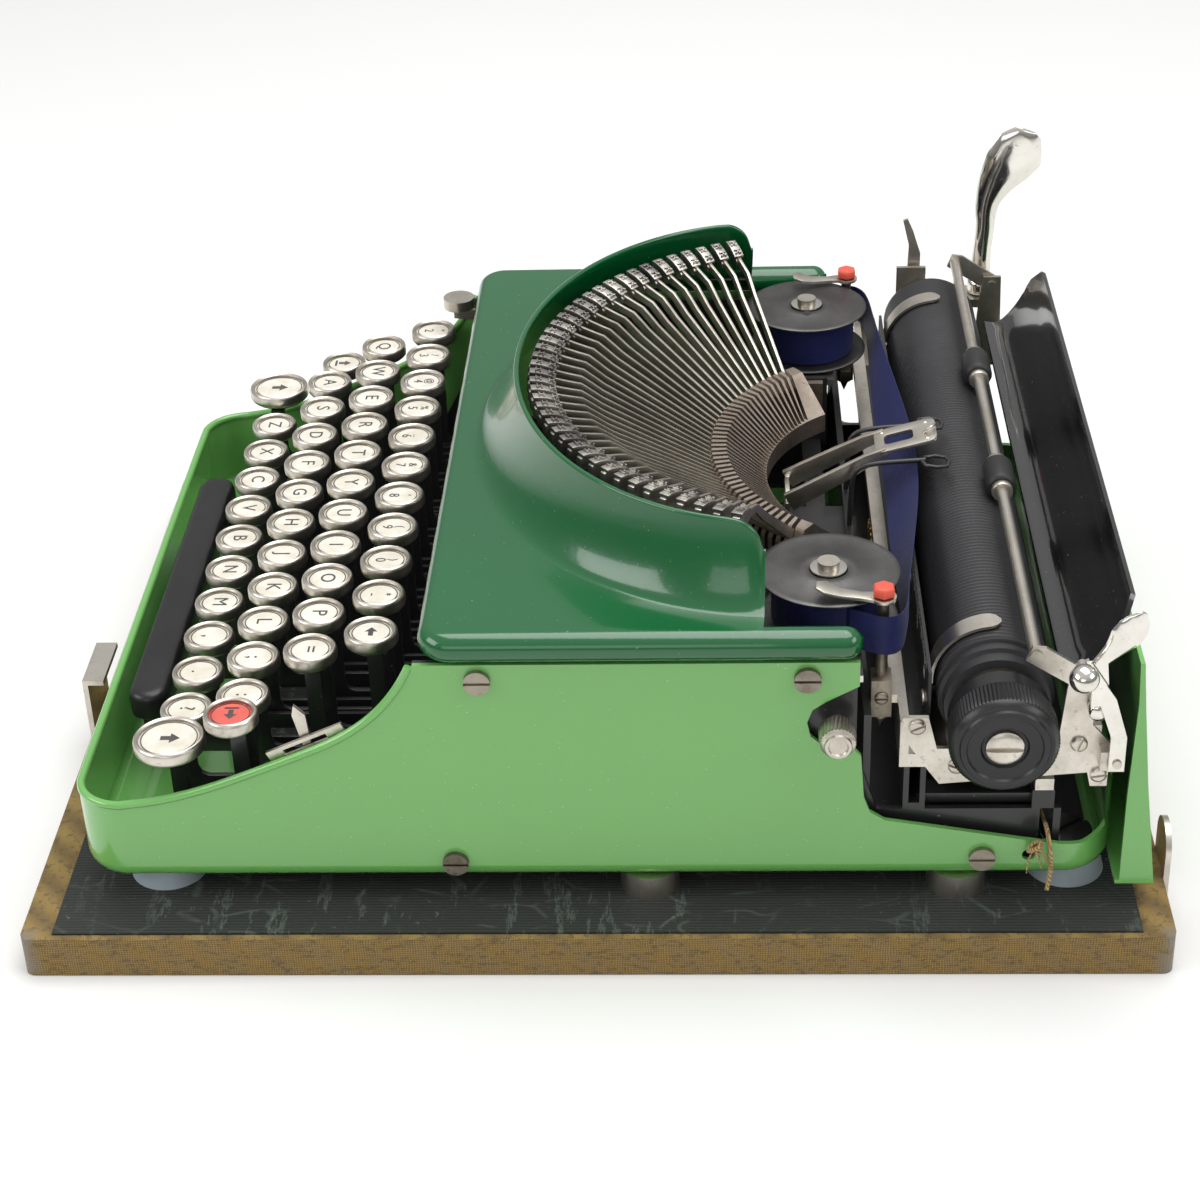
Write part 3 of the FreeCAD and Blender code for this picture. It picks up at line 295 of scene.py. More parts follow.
# %% [markdown]
# ## Plated and bare metal
# Old nickel keeps its warm shine but is pitted, smeared and dull where fingers never rub it. Painted maps
# would have to be drawn for every part. Noises in the object's own space fit any part: one drives the
# roughness, and a finer one the dark pits. Bare type steel is greyer, with brown in it.

# %% Metals
pit_colour = (0.13, 0.11, 0.09)


def plated(name, bright, dull, rough=0.2, spread=0.28, pits=0.5, grain=0.12):
    finish = Finish(name, Metallic=1.0)
    smear = finish.noise(55.0, 6.0, 0.65)
    pitted = finish.noise(640.0, 3.0).above(0.66, 0.05)
    drawn = finish.noise(1.0, 2.0, place=finish.stretched((90, 1800, 1800)))
    colour = finish.mix(smear.above(0.52, 0.16), bright, dull)
    return finish.set(Base_Color=finish.mix(pitted * pits, colour, pit_colour),
                      Roughness=rough + smear * spread + pitted * 0.15,
                      Normal=finish.bump(drawn + pitted * -0.6, grain, 0.0001))


nickel = plated("aged_nickel", (0.70, 0.655, 0.585), (0.50, 0.46, 0.395), pits=0.22)
polished = plated("polished_nickel", (0.80, 0.77, 0.72), (0.68, 0.65, 0.59), rough=0.05, spread=0.12,
                  pits=0.15, grain=0.03)
type_steel = plated("type_steel", (0.60, 0.56, 0.49), (0.36, 0.33, 0.27), rough=0.24, pits=0.3)
screw_metal = plated("screw_metal", (0.36, 0.32, 0.26), (0.16, 0.135, 0.105), rough=0.34, pits=0.7)
slug_steel = plated("slug_steel", (0.62, 0.59, 0.54), (0.22, 0.20, 0.19), rough=0.26, pits=0.8)
segment_metal = plated("segment_metal", (0.46, 0.40, 0.34), (0.26, 0.20, 0.16), rough=0.3)
brass = plated("dull_brass", (0.62, 0.42, 0.16), (0.34, 0.22, 0.09), rough=0.3)
gunmetal = plated("spool_gunmetal", (0.15, 0.147, 0.143), (0.10, 0.098, 0.096), rough=0.36, spread=0.2,
                  pits=0.2)
print("metals ready")

# %% [markdown]
# ## Rubber and bakelite
# Hard rubber goes chalky in patches. Bakelite is a deep black with a soft polish. Each is one colour with
# patches of a second one mixed in by a noise, so one function serves, with more or less of the patches.

# %% Rubber and bakelite
def rubber(name, colour, chalk, rough=0.6, scale=30.0, amount=0.35):
    finish = Finish(name, IOR=1.45)
    patch = finish.noise(scale, 6.0, 0.6)
    grain = finish.noise(1500.0, 2.0)
    return finish.set(Base_Color=finish.mix(patch.above(0.55, 0.15) * amount, colour, chalk),
                      Roughness=rough + patch * 0.18 - 0.09, Normal=finish.bump(grain, 0.25, 0.0001))


grey_rubber = rubber("grey_rubber", (0.36, 0.42, 0.46), (0.22, 0.24, 0.24))
black_rubber = rubber("black_rubber", (0.016, 0.016, 0.017), (0.07, 0.07, 0.07), rough=0.5)
platen_rubber = rubber("platen_rubber", (0.020, 0.020, 0.022), (0.055, 0.055, 0.058), rough=0.46,
                       scale=18.0)
bakelite = rubber("black_bakelite", (0.010, 0.010, 0.011), (0.03, 0.03, 0.03), rough=0.30, amount=0.25)


white_ink = rubber("white_ink", (0.75, 0.74, 0.70), (0.45, 0.44, 0.42), rough=0.5)
red_cap = rubber("red_cap", (0.70, 0.10, 0.06), (0.45, 0.06, 0.04), rough=0.35)
print("rubber and bakelite ready")

# %% [markdown]
# ## Key cards
# Each key has a printed card under a domed glass disc. Real glass would need slow refraction. The disc is
# thin, so a clear coat over the card does the same work.

# %% Key cards
def key_card(name, colour, aged):
    finish = Finish(name, Coat_Weight=1.0, Coat_Roughness=0.02, IOR=1.5)
    stain = finish.noise(160.0, 5.0, 0.6)
    return finish.set(Base_Color=finish.mix(stain.above(0.5, 0.2), colour, aged),
                      Roughness=0.42 + stain * 0.15)


cream_card = key_card("key_card", (0.80, 0.77, 0.69), (0.66, 0.61, 0.50))
red_card = key_card("red_key_card", (0.70, 0.10, 0.07), (0.60, 0.07, 0.05))
legend_ink = key_card("legend_ink", (0.015, 0.014, 0.012), (0.05, 0.045, 0.04))
print("cards ready:", cream_card.name, red_card.name, legend_ink.name)

# %% [markdown]
# ## Tweed on the board
# The board is wrapped in tweed-printed cloth: gold-brown threads on a diagonal with dark flecks, rubbed
# pale on the corners. An unwrapped print would need seams. Two sets of slanted lines that work on every
# face of a box are sums of its three coordinates.

# %% Tweed
thread_dark, thread_gold = (0.10, 0.055, 0.012), (0.33, 0.21, 0.048)
fleck_colour, stain_colour, rubbed_colour = (0.075, 0.05, 0.018), (0.06, 0.045, 0.02), (0.20, 0.17, 0.12)
worn_band, worn_fade = 0.004, 0.003


def tweed():
    finish = Finish("tweed_board", Sheen_Weight=0.25, IOR=1.4)
    x, y, z = finish.axes()
    thread = 4200.0
    wobble = finish.noise(260.0, 3.0) * 5.0
    rise = ((x + y + z) * thread + wobble).sine()
    fall = ((x * 0.9 + y * 1.1 - z) * thread + wobble).sine()
    weave = (rise * fall * 0.5 + 0.5)
    flecks = finish.noise(1.0, 4.0, 0.7, finish.stretched((420, 420, 1100))).above(0.56, 0.05)
    gold = finish.mix(weave, thread_dark, thread_gold)
    cloth = finish.mix(flecks * 0.62, gold, fleck_colour)
    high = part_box("case_board")[1]
    near_end_x = (x.size() - (high.x - worn_band)).above(0.0, worn_fade)
    near_end_y = (y.size() - (high.y - worn_band)).above(0.0, worn_fade)
    rubbed = near_end_x * near_end_y * finish.noise(180.0, 4.0).above(0.42, 0.08)
    stains = finish.noise(14.0, 5.0, 0.6).above(0.66, 0.03) * 0.7
    worn = finish.mix(rubbed, finish.mix(stains, cloth, stain_colour), rubbed_colour)
    return finish.set(Base_Color=worn, Roughness=0.78 + flecks * 0.1,
                      Normal=finish.bump(weave + flecks * 0.4, 0.55, 0.0004))


tweed_cloth = tweed()
print("tweed ready:", tweed_cloth.name)

# %% [markdown]
# ## Lining under the machine
# The top of the board is lined with a dark ribbed cloth with a worn pale leaf print. The cells of a bent
# Voronoi pattern give the veins, and long stretched noise the blades, both broken up by more noise.

# %% Lining
rib_dark, rib_light = (0.007, 0.009, 0.007), (0.019, 0.022, 0.017)
leaf_colour, lint_colour = (0.115, 0.15, 0.125), (0.30, 0.30, 0.27)


def ribbed_cloth():
    finish = Finish("lining_cloth", Sheen_Weight=0.15, IOR=1.4)
    x = finish.axes()[0]
    ribs = (x * 5200.0 + finish.noise(90.0) * 3.0).sine() * 0.5 + 0.5
    leaf_place = finish.node("ShaderNodeMapping", None, {"Vector": finish.place, "Scale": (46, 30, 46)})
    bend = finish.noise(1.0, 2.0, 0.5, leaf_place)
    veins = finish.node("ShaderNodeTexVoronoi", {"feature": "DISTANCE_TO_EDGE"},
                        {"Vector": finish.node("ShaderNodeVectorMath", {"operation": "ADD"},
                                               {0: leaf_place, 1: bend}), "Scale": 1.6}, output=0)
    line = 1 - veins.above(0.03, 0.02)
    blades = finish.noise(1.0, 5.0, 0.75, finish.stretched((26, 150, 60)))
    scratch = blades.above(0.58, 0.015) * (1 - blades.above(0.62, 0.02))
    broken = finish.noise(60.0, 3.0).above(0.53, 0.06)
    print_mask = (line * broken * 0.35 + scratch * 0.45) * finish.noise(14.0, 3.0).above(0.44, 0.1)
    dust = finish.noise(420.0, 5.0, 0.7).above(0.68, 0.04) * 0.35
    base = finish.mix(ribs, rib_dark, rib_light)
    return finish.set(Base_Color=finish.mix(dust, finish.mix(print_mask, base, leaf_colour), lint_colour),
                      Roughness=0.55 + ribs * 0.2, Normal=finish.bump(ribs, 0.5, 0.0003))


lining = ribbed_cloth()
print("lining ready:", lining.name)

# %% [markdown]
# ## Inked ribbon and string
# The ribbon is finely woven and soaked in navy ink, and the string is twisted flax. Both need only a
# regular ripple, and a sine of a coordinate gives one.

# %% Ribbon and string
def inked_ribbon():
    finish = Finish("navy_ribbon", Sheen_Weight=0.08, IOR=1.3)
    x, y, z = finish.axes()
    weft = (x * 9000.0).sine() * 0.5 + 0.5
    warp = (z * 9000.0 + y * 4000.0).sine() * 0.5 + 0.5
    fade = finish.noise(24.0, 4.0)
    return finish.set(Base_Color=finish.mix(fade, (0.005, 0.007, 0.045), (0.012, 0.017, 0.10)),
                      Roughness=0.5 + weft * 0.12, Normal=finish.bump(weft * warp, 0.35, 0.0002))


def twisted_string():
    finish = Finish("draw_string", Sheen_Weight=0.3)
    x, y, z = finish.axes()
    twist = ((x + y + z) * 5200.0).sine() * 0.5 + 0.5
    return finish.set(Base_Color=finish.mix(twist, (0.20, 0.11, 0.03), (0.52, 0.36, 0.13)), Roughness=0.75,
                      Normal=finish.bump(twist, 0.8, 0.0003))


ribbon_cloth = inked_ribbon()
string = twisted_string()
print("ribbon and string ready:", ribbon_cloth.name, string.name)

# %% [markdown]
# ## Floor paper
# Paper scatters light evenly and is never quite pure white. A very broad noise keeps it from looking
# like a flat fill.

# %% Floor paper
paper_white, paper_shade = (0.79, 0.79, 0.78), (0.77, 0.77, 0.76)


def paper_floor():
    finish = Finish("floor_paper", IOR=1.3)
    return finish.set(Base_Color=finish.mix(finish.noise(3.0), paper_white, paper_shade), Roughness=0.9)


floor_mesh.materials.append(paper_floor())
print("floor paper ready")

# %% [markdown]
# ## Finishes on the frame's own parts
# Many parts keep the frame's own mesh and only need their finish. The record names the material slot of
# each part, so a table from slot to finish does for all of them at once.

# %% Finish the frame's parts
slot_finishes = {
    "tweed_board": tweed_cloth, "lining_cloth": lining, "aged_nickel": nickel, "grey_rubber": grey_rubber,
    "light_green_enamel": light_green, "dark_green_enamel": dark_green, "black_enamel": satin_black,
    "key_mix": satin_black, "black_bakelite": bakelite, "type_steel": type_steel,
    "segment_metal": segment_metal, "spool_gunmetal": gunmetal, "navy_ribbon": ribbon_cloth,
    "platen_rubber": platen_rubber, "glossy_black": gloss_black, "draw_string": string,
    "brass": brass, "black_rubber": black_rubber,
}
node_slot = {part["node"]: part["material_slot"] for part in frame["record"]["subparts"]}


def finish_node(name, material):
    mesh = nodes[name].data
    mesh.materials.clear()
    mesh.materials.append(material)


for name, slot_name in node_slot.items():
    finish_node(name, slot_finishes[slot_name])
print("frame parts finished:", len(node_slot))

# %% [markdown]
# ## Shaping tools
# Most small machine parts are turned, stamped or bent, so five tools are enough: a lathe, a flat stamping
# pushed to a thickness, a flat bar and a round tube swept along a path, and a loft through rings. `Shape`
# gathers their faces and makes one piece with welded corners, softened edges and outward faces.

# %% Shape
class Shape:
    """Vertices and faces of one piece, in metres."""

    def __init__(self):
        self.points = []
        self.faces = []

    def add(self, points, faces):
        start = len(self.points)
        self.points += [Vector(p) for p in points]
        self.faces += [[start + i for i in face] for face in faces]
        return self

    def loft(self, rings, closed=True, caps=True):
        """Skin through rings of equal length. With closed, the last ring joins the first."""
        count = len(rings[0])
        faces = []
        steps = len(rings) if closed else len(rings) - 1
        for i in range(steps):
            after = (i + 1) % len(rings)
            for j in range(count):
                k = (j + 1) % count
                faces.append((i * count + j, i * count + k, after * count + k, after * count + j))
        if caps and not closed:
            faces.append(tuple(range(count))[::-1])
            faces.append(tuple((len(rings) - 1) * count + j for j in range(count)))
        return self.add([p for ring in rings for p in ring], faces)

    def lathe(self, profile, centre, axis="z", segments=32):
        """Closed (radius, along) outline turned about an axis through the centre."""
        rings = []
        for i in range(segments):
            a = 2 * math.pi * i / segments
            ring = []
            for radius, along in profile:
                u, v = radius * math.cos(a), radius * math.sin(a)
                offset = {"x": (along, u, v), "y": (v, along, u), "z": (u, v, along)}[axis]
                ring.append(Vector(centre) + Vector(offset))
            rings.append(ring)
        return self.loft(rings)

    def stamping(self, outline, low, high, axis="x"):
        """Flat outline pushed along an axis. The outline is (y, z), (x, z) or (x, y)."""
        def place(point, along):
            a, b = point
            return {"x": (along, a, b), "y": (a, along, b), "z": (a, b, along)}[axis]
        ends = [[place(p, along) for p in outline] for along in (low, high)]
        return self.loft(ends, closed=False)

    def bar(self, path, width, height, across=(1, 0, 0)):
        """Rectangular bar along a path. Across is the direction that its width lies in."""
        rings = []
        for i, point in enumerate(path):
            ahead = (Vector(path[min(i + 1, len(path) - 1)]) - Vector(path[max(i - 1, 0)])).normalized()
            side = (Vector(across) - ahead * ahead.dot(Vector(across))).normalized()
            up = ahead.cross(side)
            w = (width[i] if isinstance(width, (list, tuple)) else width) / 2
            h = (height[i] if isinstance(height, (list, tuple)) else height) / 2
            corners = ((-w, -h), (w, -h), (w, h), (-w, h))
            rings.append([Vector(point) + side * a + up * b for a, b in corners])
        return self.loft(rings, closed=False)

    def tube(self, path, radius, segments=10):
        """Round bar along a path, with flat ends."""
        rings = []
        guide = Vector((0.3, 0.1, 0.95))
        for i, point in enumerate(path):
            ahead = (Vector(path[min(i + 1, len(path) - 1)]) - Vector(path[max(i - 1, 0)])).normalized()
            side = guide - ahead * ahead.dot(guide)
            side.normalize()
            guide = side
            up = ahead.cross(side)
            r = radius[i] if isinstance(radius, (list, tuple)) else radius
            ring = []
            for k in range(segments):
                a = 2 * math.pi * k / segments
                ring.append(Vector(point) + side * math.cos(a) * r + up * math.sin(a) * r)
            rings.append(ring)
        return self.loft(rings, closed=False)

    def mesh(self, name, bevel=0.0, sharp=35.0):
        mesh = bpy.data.meshes.new(name)
        mesh.from_pydata([tuple(p) for p in self.points], [], self.faces)
        work = bmesh.new()
        work.from_mesh(mesh)
        bmesh.ops.remove_doubles(work, verts=work.verts, dist=1e-7)
        bmesh.ops.dissolve_degenerate(work, edges=work.edges, dist=1e-7)
        bmesh.ops.recalc_face_normals(work, faces=work.faces)
        if bevel:
            limit = math.radians(sharp)
            edges = [e for e in work.edges if len(e.link_faces) == 2 and e.calc_face_angle(0) > limit]
            bmesh.ops.bevel(work, geom=edges, offset=bevel, segments=2, profile=0.6, affect="EDGES",
                            clamp_overlap=True)
        work.to_mesh(mesh)
        work.free()
        mesh.polygons.foreach_set("use_smooth", [True] * len(mesh.polygons))
        mesh.set_sharp_from_angle(angle=math.radians(sharp))
        return mesh


print("shape tools:", [name for name in vars(Shape) if not name.startswith("_")])

# %% [markdown]
# ## Placing a piece
# A finished mesh becomes an object at the origin. It rides on one body of the frame, takes its finish, and
# may stand in for the frame's own part. These calls are alike for every piece, so one helper makes them.

# %% Placing tools
def place_piece(mesh, material, body, replaced=()):
    mesh.materials.clear()
    mesh.materials.append(material)
    piece = bpy.data.objects.new(mesh.name, mesh)
    bpy.context.scene.collection.objects.link(piece)
    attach(piece, body)
    if replaced:
        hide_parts(*replaced)
    return piece


def make_piece(name, shape, material, body, replaced=(), bevel=0.0, sharp=35.0):
    return place_piece(shape.mesh(name, bevel, sharp), material, body, replaced)


def at(x, y, z):
    return Vector((x, y, z)) * mm


def arc(radius, start, end, count):
    """(u, v) points on an arc about zero, in the radius's units, by degrees."""
    steps = [math.radians(start + (end - start) * i / (count - 1)) for i in range(count)]
    return [(radius * math.cos(a), radius * math.sin(a)) for a in steps]


def scaled(points):
    return [(a * mm, b * mm) for a, b in points]


print("placing tools ready, one millimetre is", at(1, 0, 0).x)

# %% [markdown]
# ## Repeating with Geometry Nodes
# Rings, slugs, ticks and screws repeat. One node tree puts an item on every point of a mesh and turns it
# by the point's own `turn`, so one small mesh does for all of them. The result is made a plain mesh.

# %% The repeat tree
def build_repeat_tree():
    tree = bpy.data.node_groups.new("repeat_on_points", "GeometryNodeTree")
    for name, kind in (("Points", "NodeSocketGeometry"), ("Item", "NodeSocketObject"),
                       ("Size", "NodeSocketFloat"), ("Finish", "NodeSocketMaterial")):
        tree.interface.new_socket(name, in_out="INPUT", socket_type=kind)
    tree.interface.new_socket("Geometry", in_out="OUTPUT", socket_type="NodeSocketGeometry")
    made = {kind: tree.nodes.new(kind) for kind in
            ("NodeGroupInput", "NodeGroupOutput", "GeometryNodeObjectInfo", "GeometryNodeInstanceOnPoints",
             "GeometryNodeInputNamedAttribute", "FunctionNodeEulerToRotation",
             "GeometryNodeRealizeInstances", "GeometryNodeSetMaterial")}
    given = made["NodeGroupInput"].outputs
    turn = made["GeometryNodeInputNamedAttribute"]
    turn.data_type = "FLOAT_VECTOR"
    turn.inputs["Name"].default_value = "turn"
    instance = made["GeometryNodeInstanceOnPoints"]
    link = tree.links.new
    link(given["Points"], instance.inputs["Points"])
    link(given["Item"], made["GeometryNodeObjectInfo"].inputs["Object"])
    link(made["GeometryNodeObjectInfo"].outputs["Geometry"], instance.inputs["Instance"])
    link(turn.outputs[0], made["FunctionNodeEulerToRotation"].inputs[0])
    link(made["FunctionNodeEulerToRotation"].outputs[0], instance.inputs["Rotation"])
    link(given["Size"], instance.inputs["Scale"])
    link(instance.outputs[0], made["GeometryNodeRealizeInstances"].inputs[0])
    link(made["GeometryNodeRealizeInstances"].outputs[0], made["GeometryNodeSetMaterial"].inputs[0])
    link(given["Finish"], made["GeometryNodeSetMaterial"].inputs["Material"])
    link(made["GeometryNodeSetMaterial"].outputs[0], made["NodeGroupOutput"].inputs[0])
    return tree


repeat_tree = build_repeat_tree()
print("repeat tree inputs:", [s.name for s in repeat_tree.interface.items_tree])

# %% [markdown]
# ## Using the tree
# A carrier mesh with one vertex for each place holds the turns as an attribute. The modifier's inputs are
# set by the identifiers of the sockets, the evaluated result becomes a plain mesh, and the helpers go.

# %% Repeat
level = (0.0, 0.0, 0.0)


def repeat(name, spots, item_mesh, material, body, replaced=(), size=1.0):
    """One piece with the item at every (place, euler) spot."""
    points = bpy.data.meshes.new(name + "_points")
    points.from_pydata([tuple(place) for place, turn in spots], [], [])
    turns = points.attributes.new("turn", "FLOAT_VECTOR", "POINT")
    turns.data.foreach_set("vector", [v for place, turn in spots for v in turn])
    carrier = bpy.data.objects.new(name + "_carrier", points)
    item = bpy.data.objects.new(name + "_item", item_mesh)
    for helper in (carrier, item):
        bpy.context.scene.collection.objects.link(helper)
    modifier = carrier.modifiers.new("repeat", "NODES")
    modifier.node_group = repeat_tree
    sockets = {s.name: s.identifier for s in repeat_tree.interface.items_tree if s.in_out == "INPUT"}
    modifier[sockets["Item"]] = item
    modifier[sockets["Size"]] = size
    modifier[sockets["Finish"]] = material
    graph = bpy.context.evaluated_depsgraph_get()
    mesh = bpy.data.meshes.new_from_object(carrier.evaluated_get(graph))
    carrier.modifiers.clear()
    for helper in (carrier, item):
        bpy.data.objects.remove(helper)
    mesh.name = name
    for attribute in [a for a in mesh.attributes if a.name == "turn"]:
        mesh.attributes.remove(attribute)
    mesh.set_sharp_from_angle(angle=math.radians(35))
    return place_piece(mesh, material, body, replaced)


print("repeat ready, an item that isn't turned has", level)

# %% [markdown]
# ## Top cover: its outline
# The real cover is one deep pressing: a fat rolled edge outside, a flat top, and a half-round shield that
# flares out of it in a hollow curve. A subdivided box would need many pushes. A loft does it in one go,
# if its sections follow the outline, so the outline comes first: stations from the rear to the middle.

# %% Cover outline
cover_low, cover_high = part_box("top_cover")
cover_half = cover_high.x / mm
cover_front = cover_low.y / mm
cover_top = 101.0
shield_top = cover_high.z / mm
shield_centre_y = 51.1
lip_x, lip_y = 98.0, 75.3
flare_x, flare_y = 10.5, 14.0
shelf_rear = 47.0
arm_rear = cover_high.y / mm
roll = 4.4
skin = 1.4
lip_thickness = 1.6
corner = 9.0
horn_round = 9.0
fine_step, fine_count = 0.75, 15
side_count, front_count = 16, 26


def outline_stations():
    """(x, y, normal x, normal y) round the right half of the cover, from its rear to the middle."""
    stations = []
    for i in range(fine_count):
        stations.append((cover_half, shelf_rear - fine_step * i, 1.0, 0.0))
    start = shelf_rear - fine_step * (fine_count - 1)
    for i in range(1, side_count + 1):
        stations.append((cover_half, start - (start - cover_front - corner) * i / side_count, 1.0, 0.0))
    for u, v in arc(1.0, 0, -90, 9)[1:]:
        stations.append((cover_half - corner + corner * u, cover_front + corner + corner * v, u, v))
    for i in range(1, front_count + 1):
        stations.append(((cover_half - corner) * (1 - i / front_count), cover_front, 0.0, -1.0))
    return stations


print("stations on one half of the cover:", len(outline_stations()))

# %% [markdown]
# ## Top cover: its section
# Each section runs from the rolled edge over the top and up the shield, round its lip and back
# underneath. The shield is part of an oval funnel, so a point on it needs only its angle round the oval
# and its share of the height.

# %% Cover section
def flare_out(share):
    """How far out the shield stands at a share of its height: 1 at its foot, 0 at its lip."""
    down = 1 - share
    return 0.42 * down + 0.58 * (1 - math.sqrt(max(0.0, 1 - down * down)))


def cover_section(x, y, nx, ny):
    along = math.atan2(x / (lip_x + flare_x), (shield_centre_y - y) / (lip_y + flare_y))

    def shield_point(share, top, inset):
        reach = flare_out(share)
        a = lip_x + flare_x * reach - inset
        b = lip_y + flare_y * reach - inset
        return (a * math.sin(along), shield_centre_y - b * math.cos(along),
                cover_top + (top - cover_top) * share)

    horn_y = shield_centre_y - lip_y * math.cos(along)
    past = max(0.0, horn_y - (shelf_rear - horn_round))
    top = shield_top - lip_thickness / 2 - (horn_round - math.sqrt(max(0.0, horn_round ** 2 - past ** 2)))
    outer = []
    for u, v in arc(roll, -80, 90, 15):
        outer.append((x - nx * (roll - u), y - ny * (roll - u), cover_top - roll + v))
    edge = outer[-1]
    foot = shield_point(0.0, top, 0.0)
    for i in range(1, 7):
        share = i / 7
        outer.append((edge[0] + (foot[0] - edge[0]) * share, edge[1] + (foot[1] - edge[1]) * share,
                      cover_top))
    heights = [1 - math.cos(math.radians(90 * i / 16)) for i in range(17)]
    for share in heights:
        outer.append(shield_point(share, top, 0.0))
    lip = shield_point(1.0, top, 0.0)
    lip_in = shield_point(1.0, top, lip_thickness)
    middle = [(a + b) / 2 for a, b in zip(lip, lip_in)]
    rounded = []
    for u, v in arc(1.0, 20, 160, 6):
        rounded.append((middle[0] + (lip[0] - middle[0]) * u, middle[1] + (lip[1] - middle[1]) * u,
                        middle[2] + lip_thickness / 2 * v))
    inner = [shield_point(share, top, lip_thickness) for share in heights[::-1]]
    under = []
    for i in range(1, 4):
        share = i / 3
        a = x - nx * roll
        b = y - ny * roll
        last = inner[-1]
        under.append((last[0] + (a - last[0]) * share, last[1] + (b - last[1]) * share, cover_top - skin))
    for u, v in arc(roll - skin, 90, -80, 9):
        under.append((x - nx * (roll - u), y - ny * (roll - u), cover_top - roll + v))
    ring = outer + rounded + inner + under
    return [Vector(p) * mm for p in ring]


print("points in a section:", len(cover_section(*outline_stations()[0])))

# %% [markdown]
# ## Top cover: the pressing
# The sections of the right half are mirrored for the left and skinned. Behind the shield the rolled edge
# runs on as two arms with round ends, which are two more lofts in the same piece.

# %% Build the cover
arm_half_width = 4.5


def build_cover():
    right = [cover_section(*station) for station in outline_stations()]
    left = [[Vector((-p.x, p.y, p.z)) for p in ring] for ring in right[:-1]]
    shape = Shape().loft(right + left[::-1], closed=False)
    for side in (-1, 1):
        middle_x, middle_z = side * (cover_half - arm_half_width), cover_top - roll
        rings = []
        ends = [(shelf_rear, 1.0), (arm_rear - roll, 1.0)]
        ends += [(arm_rear - roll + v, u) for u, v in arc(roll, 0, 84, 7)[1:]]
        for y, reach in ends:
            share = reach if reach <= 1 else reach / roll
            rings.append([at(middle_x + u * share, y, middle_z + v * share * roll / arm_half_width)
                          for u, v in arc(arm_half_width, 0, 345, 24)])
        shape.loft(rings, closed=False)
    return make_piece("cover_pressing", shape, dark_green, "root", ("top_cover",),
                      sharp=50.0)


cover = build_cover()
print("cover faces:", len(cover.data.polygons))

# %% [markdown]
# ## Rolled edge of the body
# The sheet of the body is turned over along its open top edge, which stiffens it and catches the light as
# a thin bright line. Bevelling the frame's own sheet would catch its loose triangles, so a round bar
# along the same edge gives that bead.

# %% Body bead
side_sweep = [(-128.0, 46.6), (-118.0, 47.9), (-105.0, 51.6), (-92.0, 56.9), (-80.0, 62.0), (-69.4, 66.7),
              (-60.9, 72.2), (-55.0, 77.8), (-51.0, 83.0), (-48.0, 88.0), (-46.6, 91.0)]
body_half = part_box("body_shell")[1].x / mm
body_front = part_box("body_shell")[0].y / mm
body_corner = 13.3
wall_middle = 0.7
bead_radius, bead_level = 1.25, 46.3


def smooth_path(points, count):
    """Points of an open smooth curve through a few chosen ones."""
    curve = bpy.data.curves.new("path", "CURVE")
    curve.dimensions = "3D"
    spline = curve.splines.new("NURBS")
    spline.points.add(len(points) - 1)
    for slot_point, place in zip(spline.points, points):
        slot_point.co = (*place, 1)
    spline.order_u = 3
    spline.use_endpoint_u = True
    spline.resolution_u = count
    holder = bpy.data.objects.new("path", curve)
    mesh = bpy.data.meshes.new_from_object(holder)
    path = [v.co.copy() for v in mesh.vertices]
    bpy.data.objects.remove(holder)
    bpy.data.curves.remove(curve)
    bpy.data.meshes.remove(mesh)
    return path


def build_bead():
    right = [at(body_half - wall_middle, y, z) for y, z in side_sweep[::-1]]
    for u, v in arc(body_corner, 0, -90, 7):
        right.append(at(body_half - wall_middle - body_corner + u,
                        body_front + wall_middle + body_corner + v, bead_level))
    left = [Vector((-p.x, p.y, p.z)) for p in right]
    path = smooth_path(right + left[::-1], 3)
    shape = Shape().tube(path, bead_radius * mm, 12)
    return make_piece("body_rolled_edge", shape, light_green, "root")


edge_bead = build_bead()
print("bead faces:", len(edge_bead.data.polygons))

# %% [markdown]
# ## Where the keys are
# The round keys stand in four rows at one even pitch, each row a little to the side of the next. A short
# list of rows and a loop give every place, which the rings, legends and levers then share.

# %% Key places
key_pitch = 19.0
key_radius, shift_radius = 7.5, 10.0
digit_marks = ["2", "3", "4", "5", "6", "7", "8", "9", "0", "-"]
digit_shift = ['"', "/", "@", "%", "_", "&", "'", "(", ")", "*"]
key_rows = {
    "keys_digit_row": dict(x=-105.7, y=-60.5, top=83.9, shift=-3.2, marks=digit_marks),
    "keys_upper_row": dict(x=-103.7, y=-77.7, top=79.2, shift=-0.3, marks=list("QWERTYUIOP") + ["="]),
    "keys_home_row": dict(x=-94.5, y=-95.9, top=70.4, shift=0.0, marks=list("ASDFGHJKL") + [";", ":"]),
    "keys_lower_row": dict(x=-85.5, y=-114.7, top=59.1, shift=5.0, marks=list("ZXCVBNM") + [",", ".", "?"]),
}
split_keys = {"G": "key_g", "H": "key_h"}


def list_keys():
    """(body, x, y, top, lever x, radius, mark) of every round key."""
    keys = []
    for row, data in key_rows.items():
        for i, mark in enumerate(data["marks"]):
            x = data["x"] + key_pitch * i
            keys.append((split_keys.get(mark, row), x, data["y"], data["top"], x + data["shift"], key_radius,
                         mark))
    keys.append(("shift_key_left", -105.6, -115.6, 63.0, -99.3, shift_radius, "shift"))
    keys.append(("shift_key_right", 105.6, -115.6, 63.0, 100.2, shift_radius, "shift"))
    keys.append(("tab_key", 110.8, -96.5, 74.5, 104.9, key_radius, "tab"))
    keys.append(("shift_lock", -110.8, -93.0, 69.5, -106.45, key_radius, "lock"))
    keys.append(("back_spacer", 85.0, -60.5, 83.9, 81.2, key_radius, "back"))
    return keys


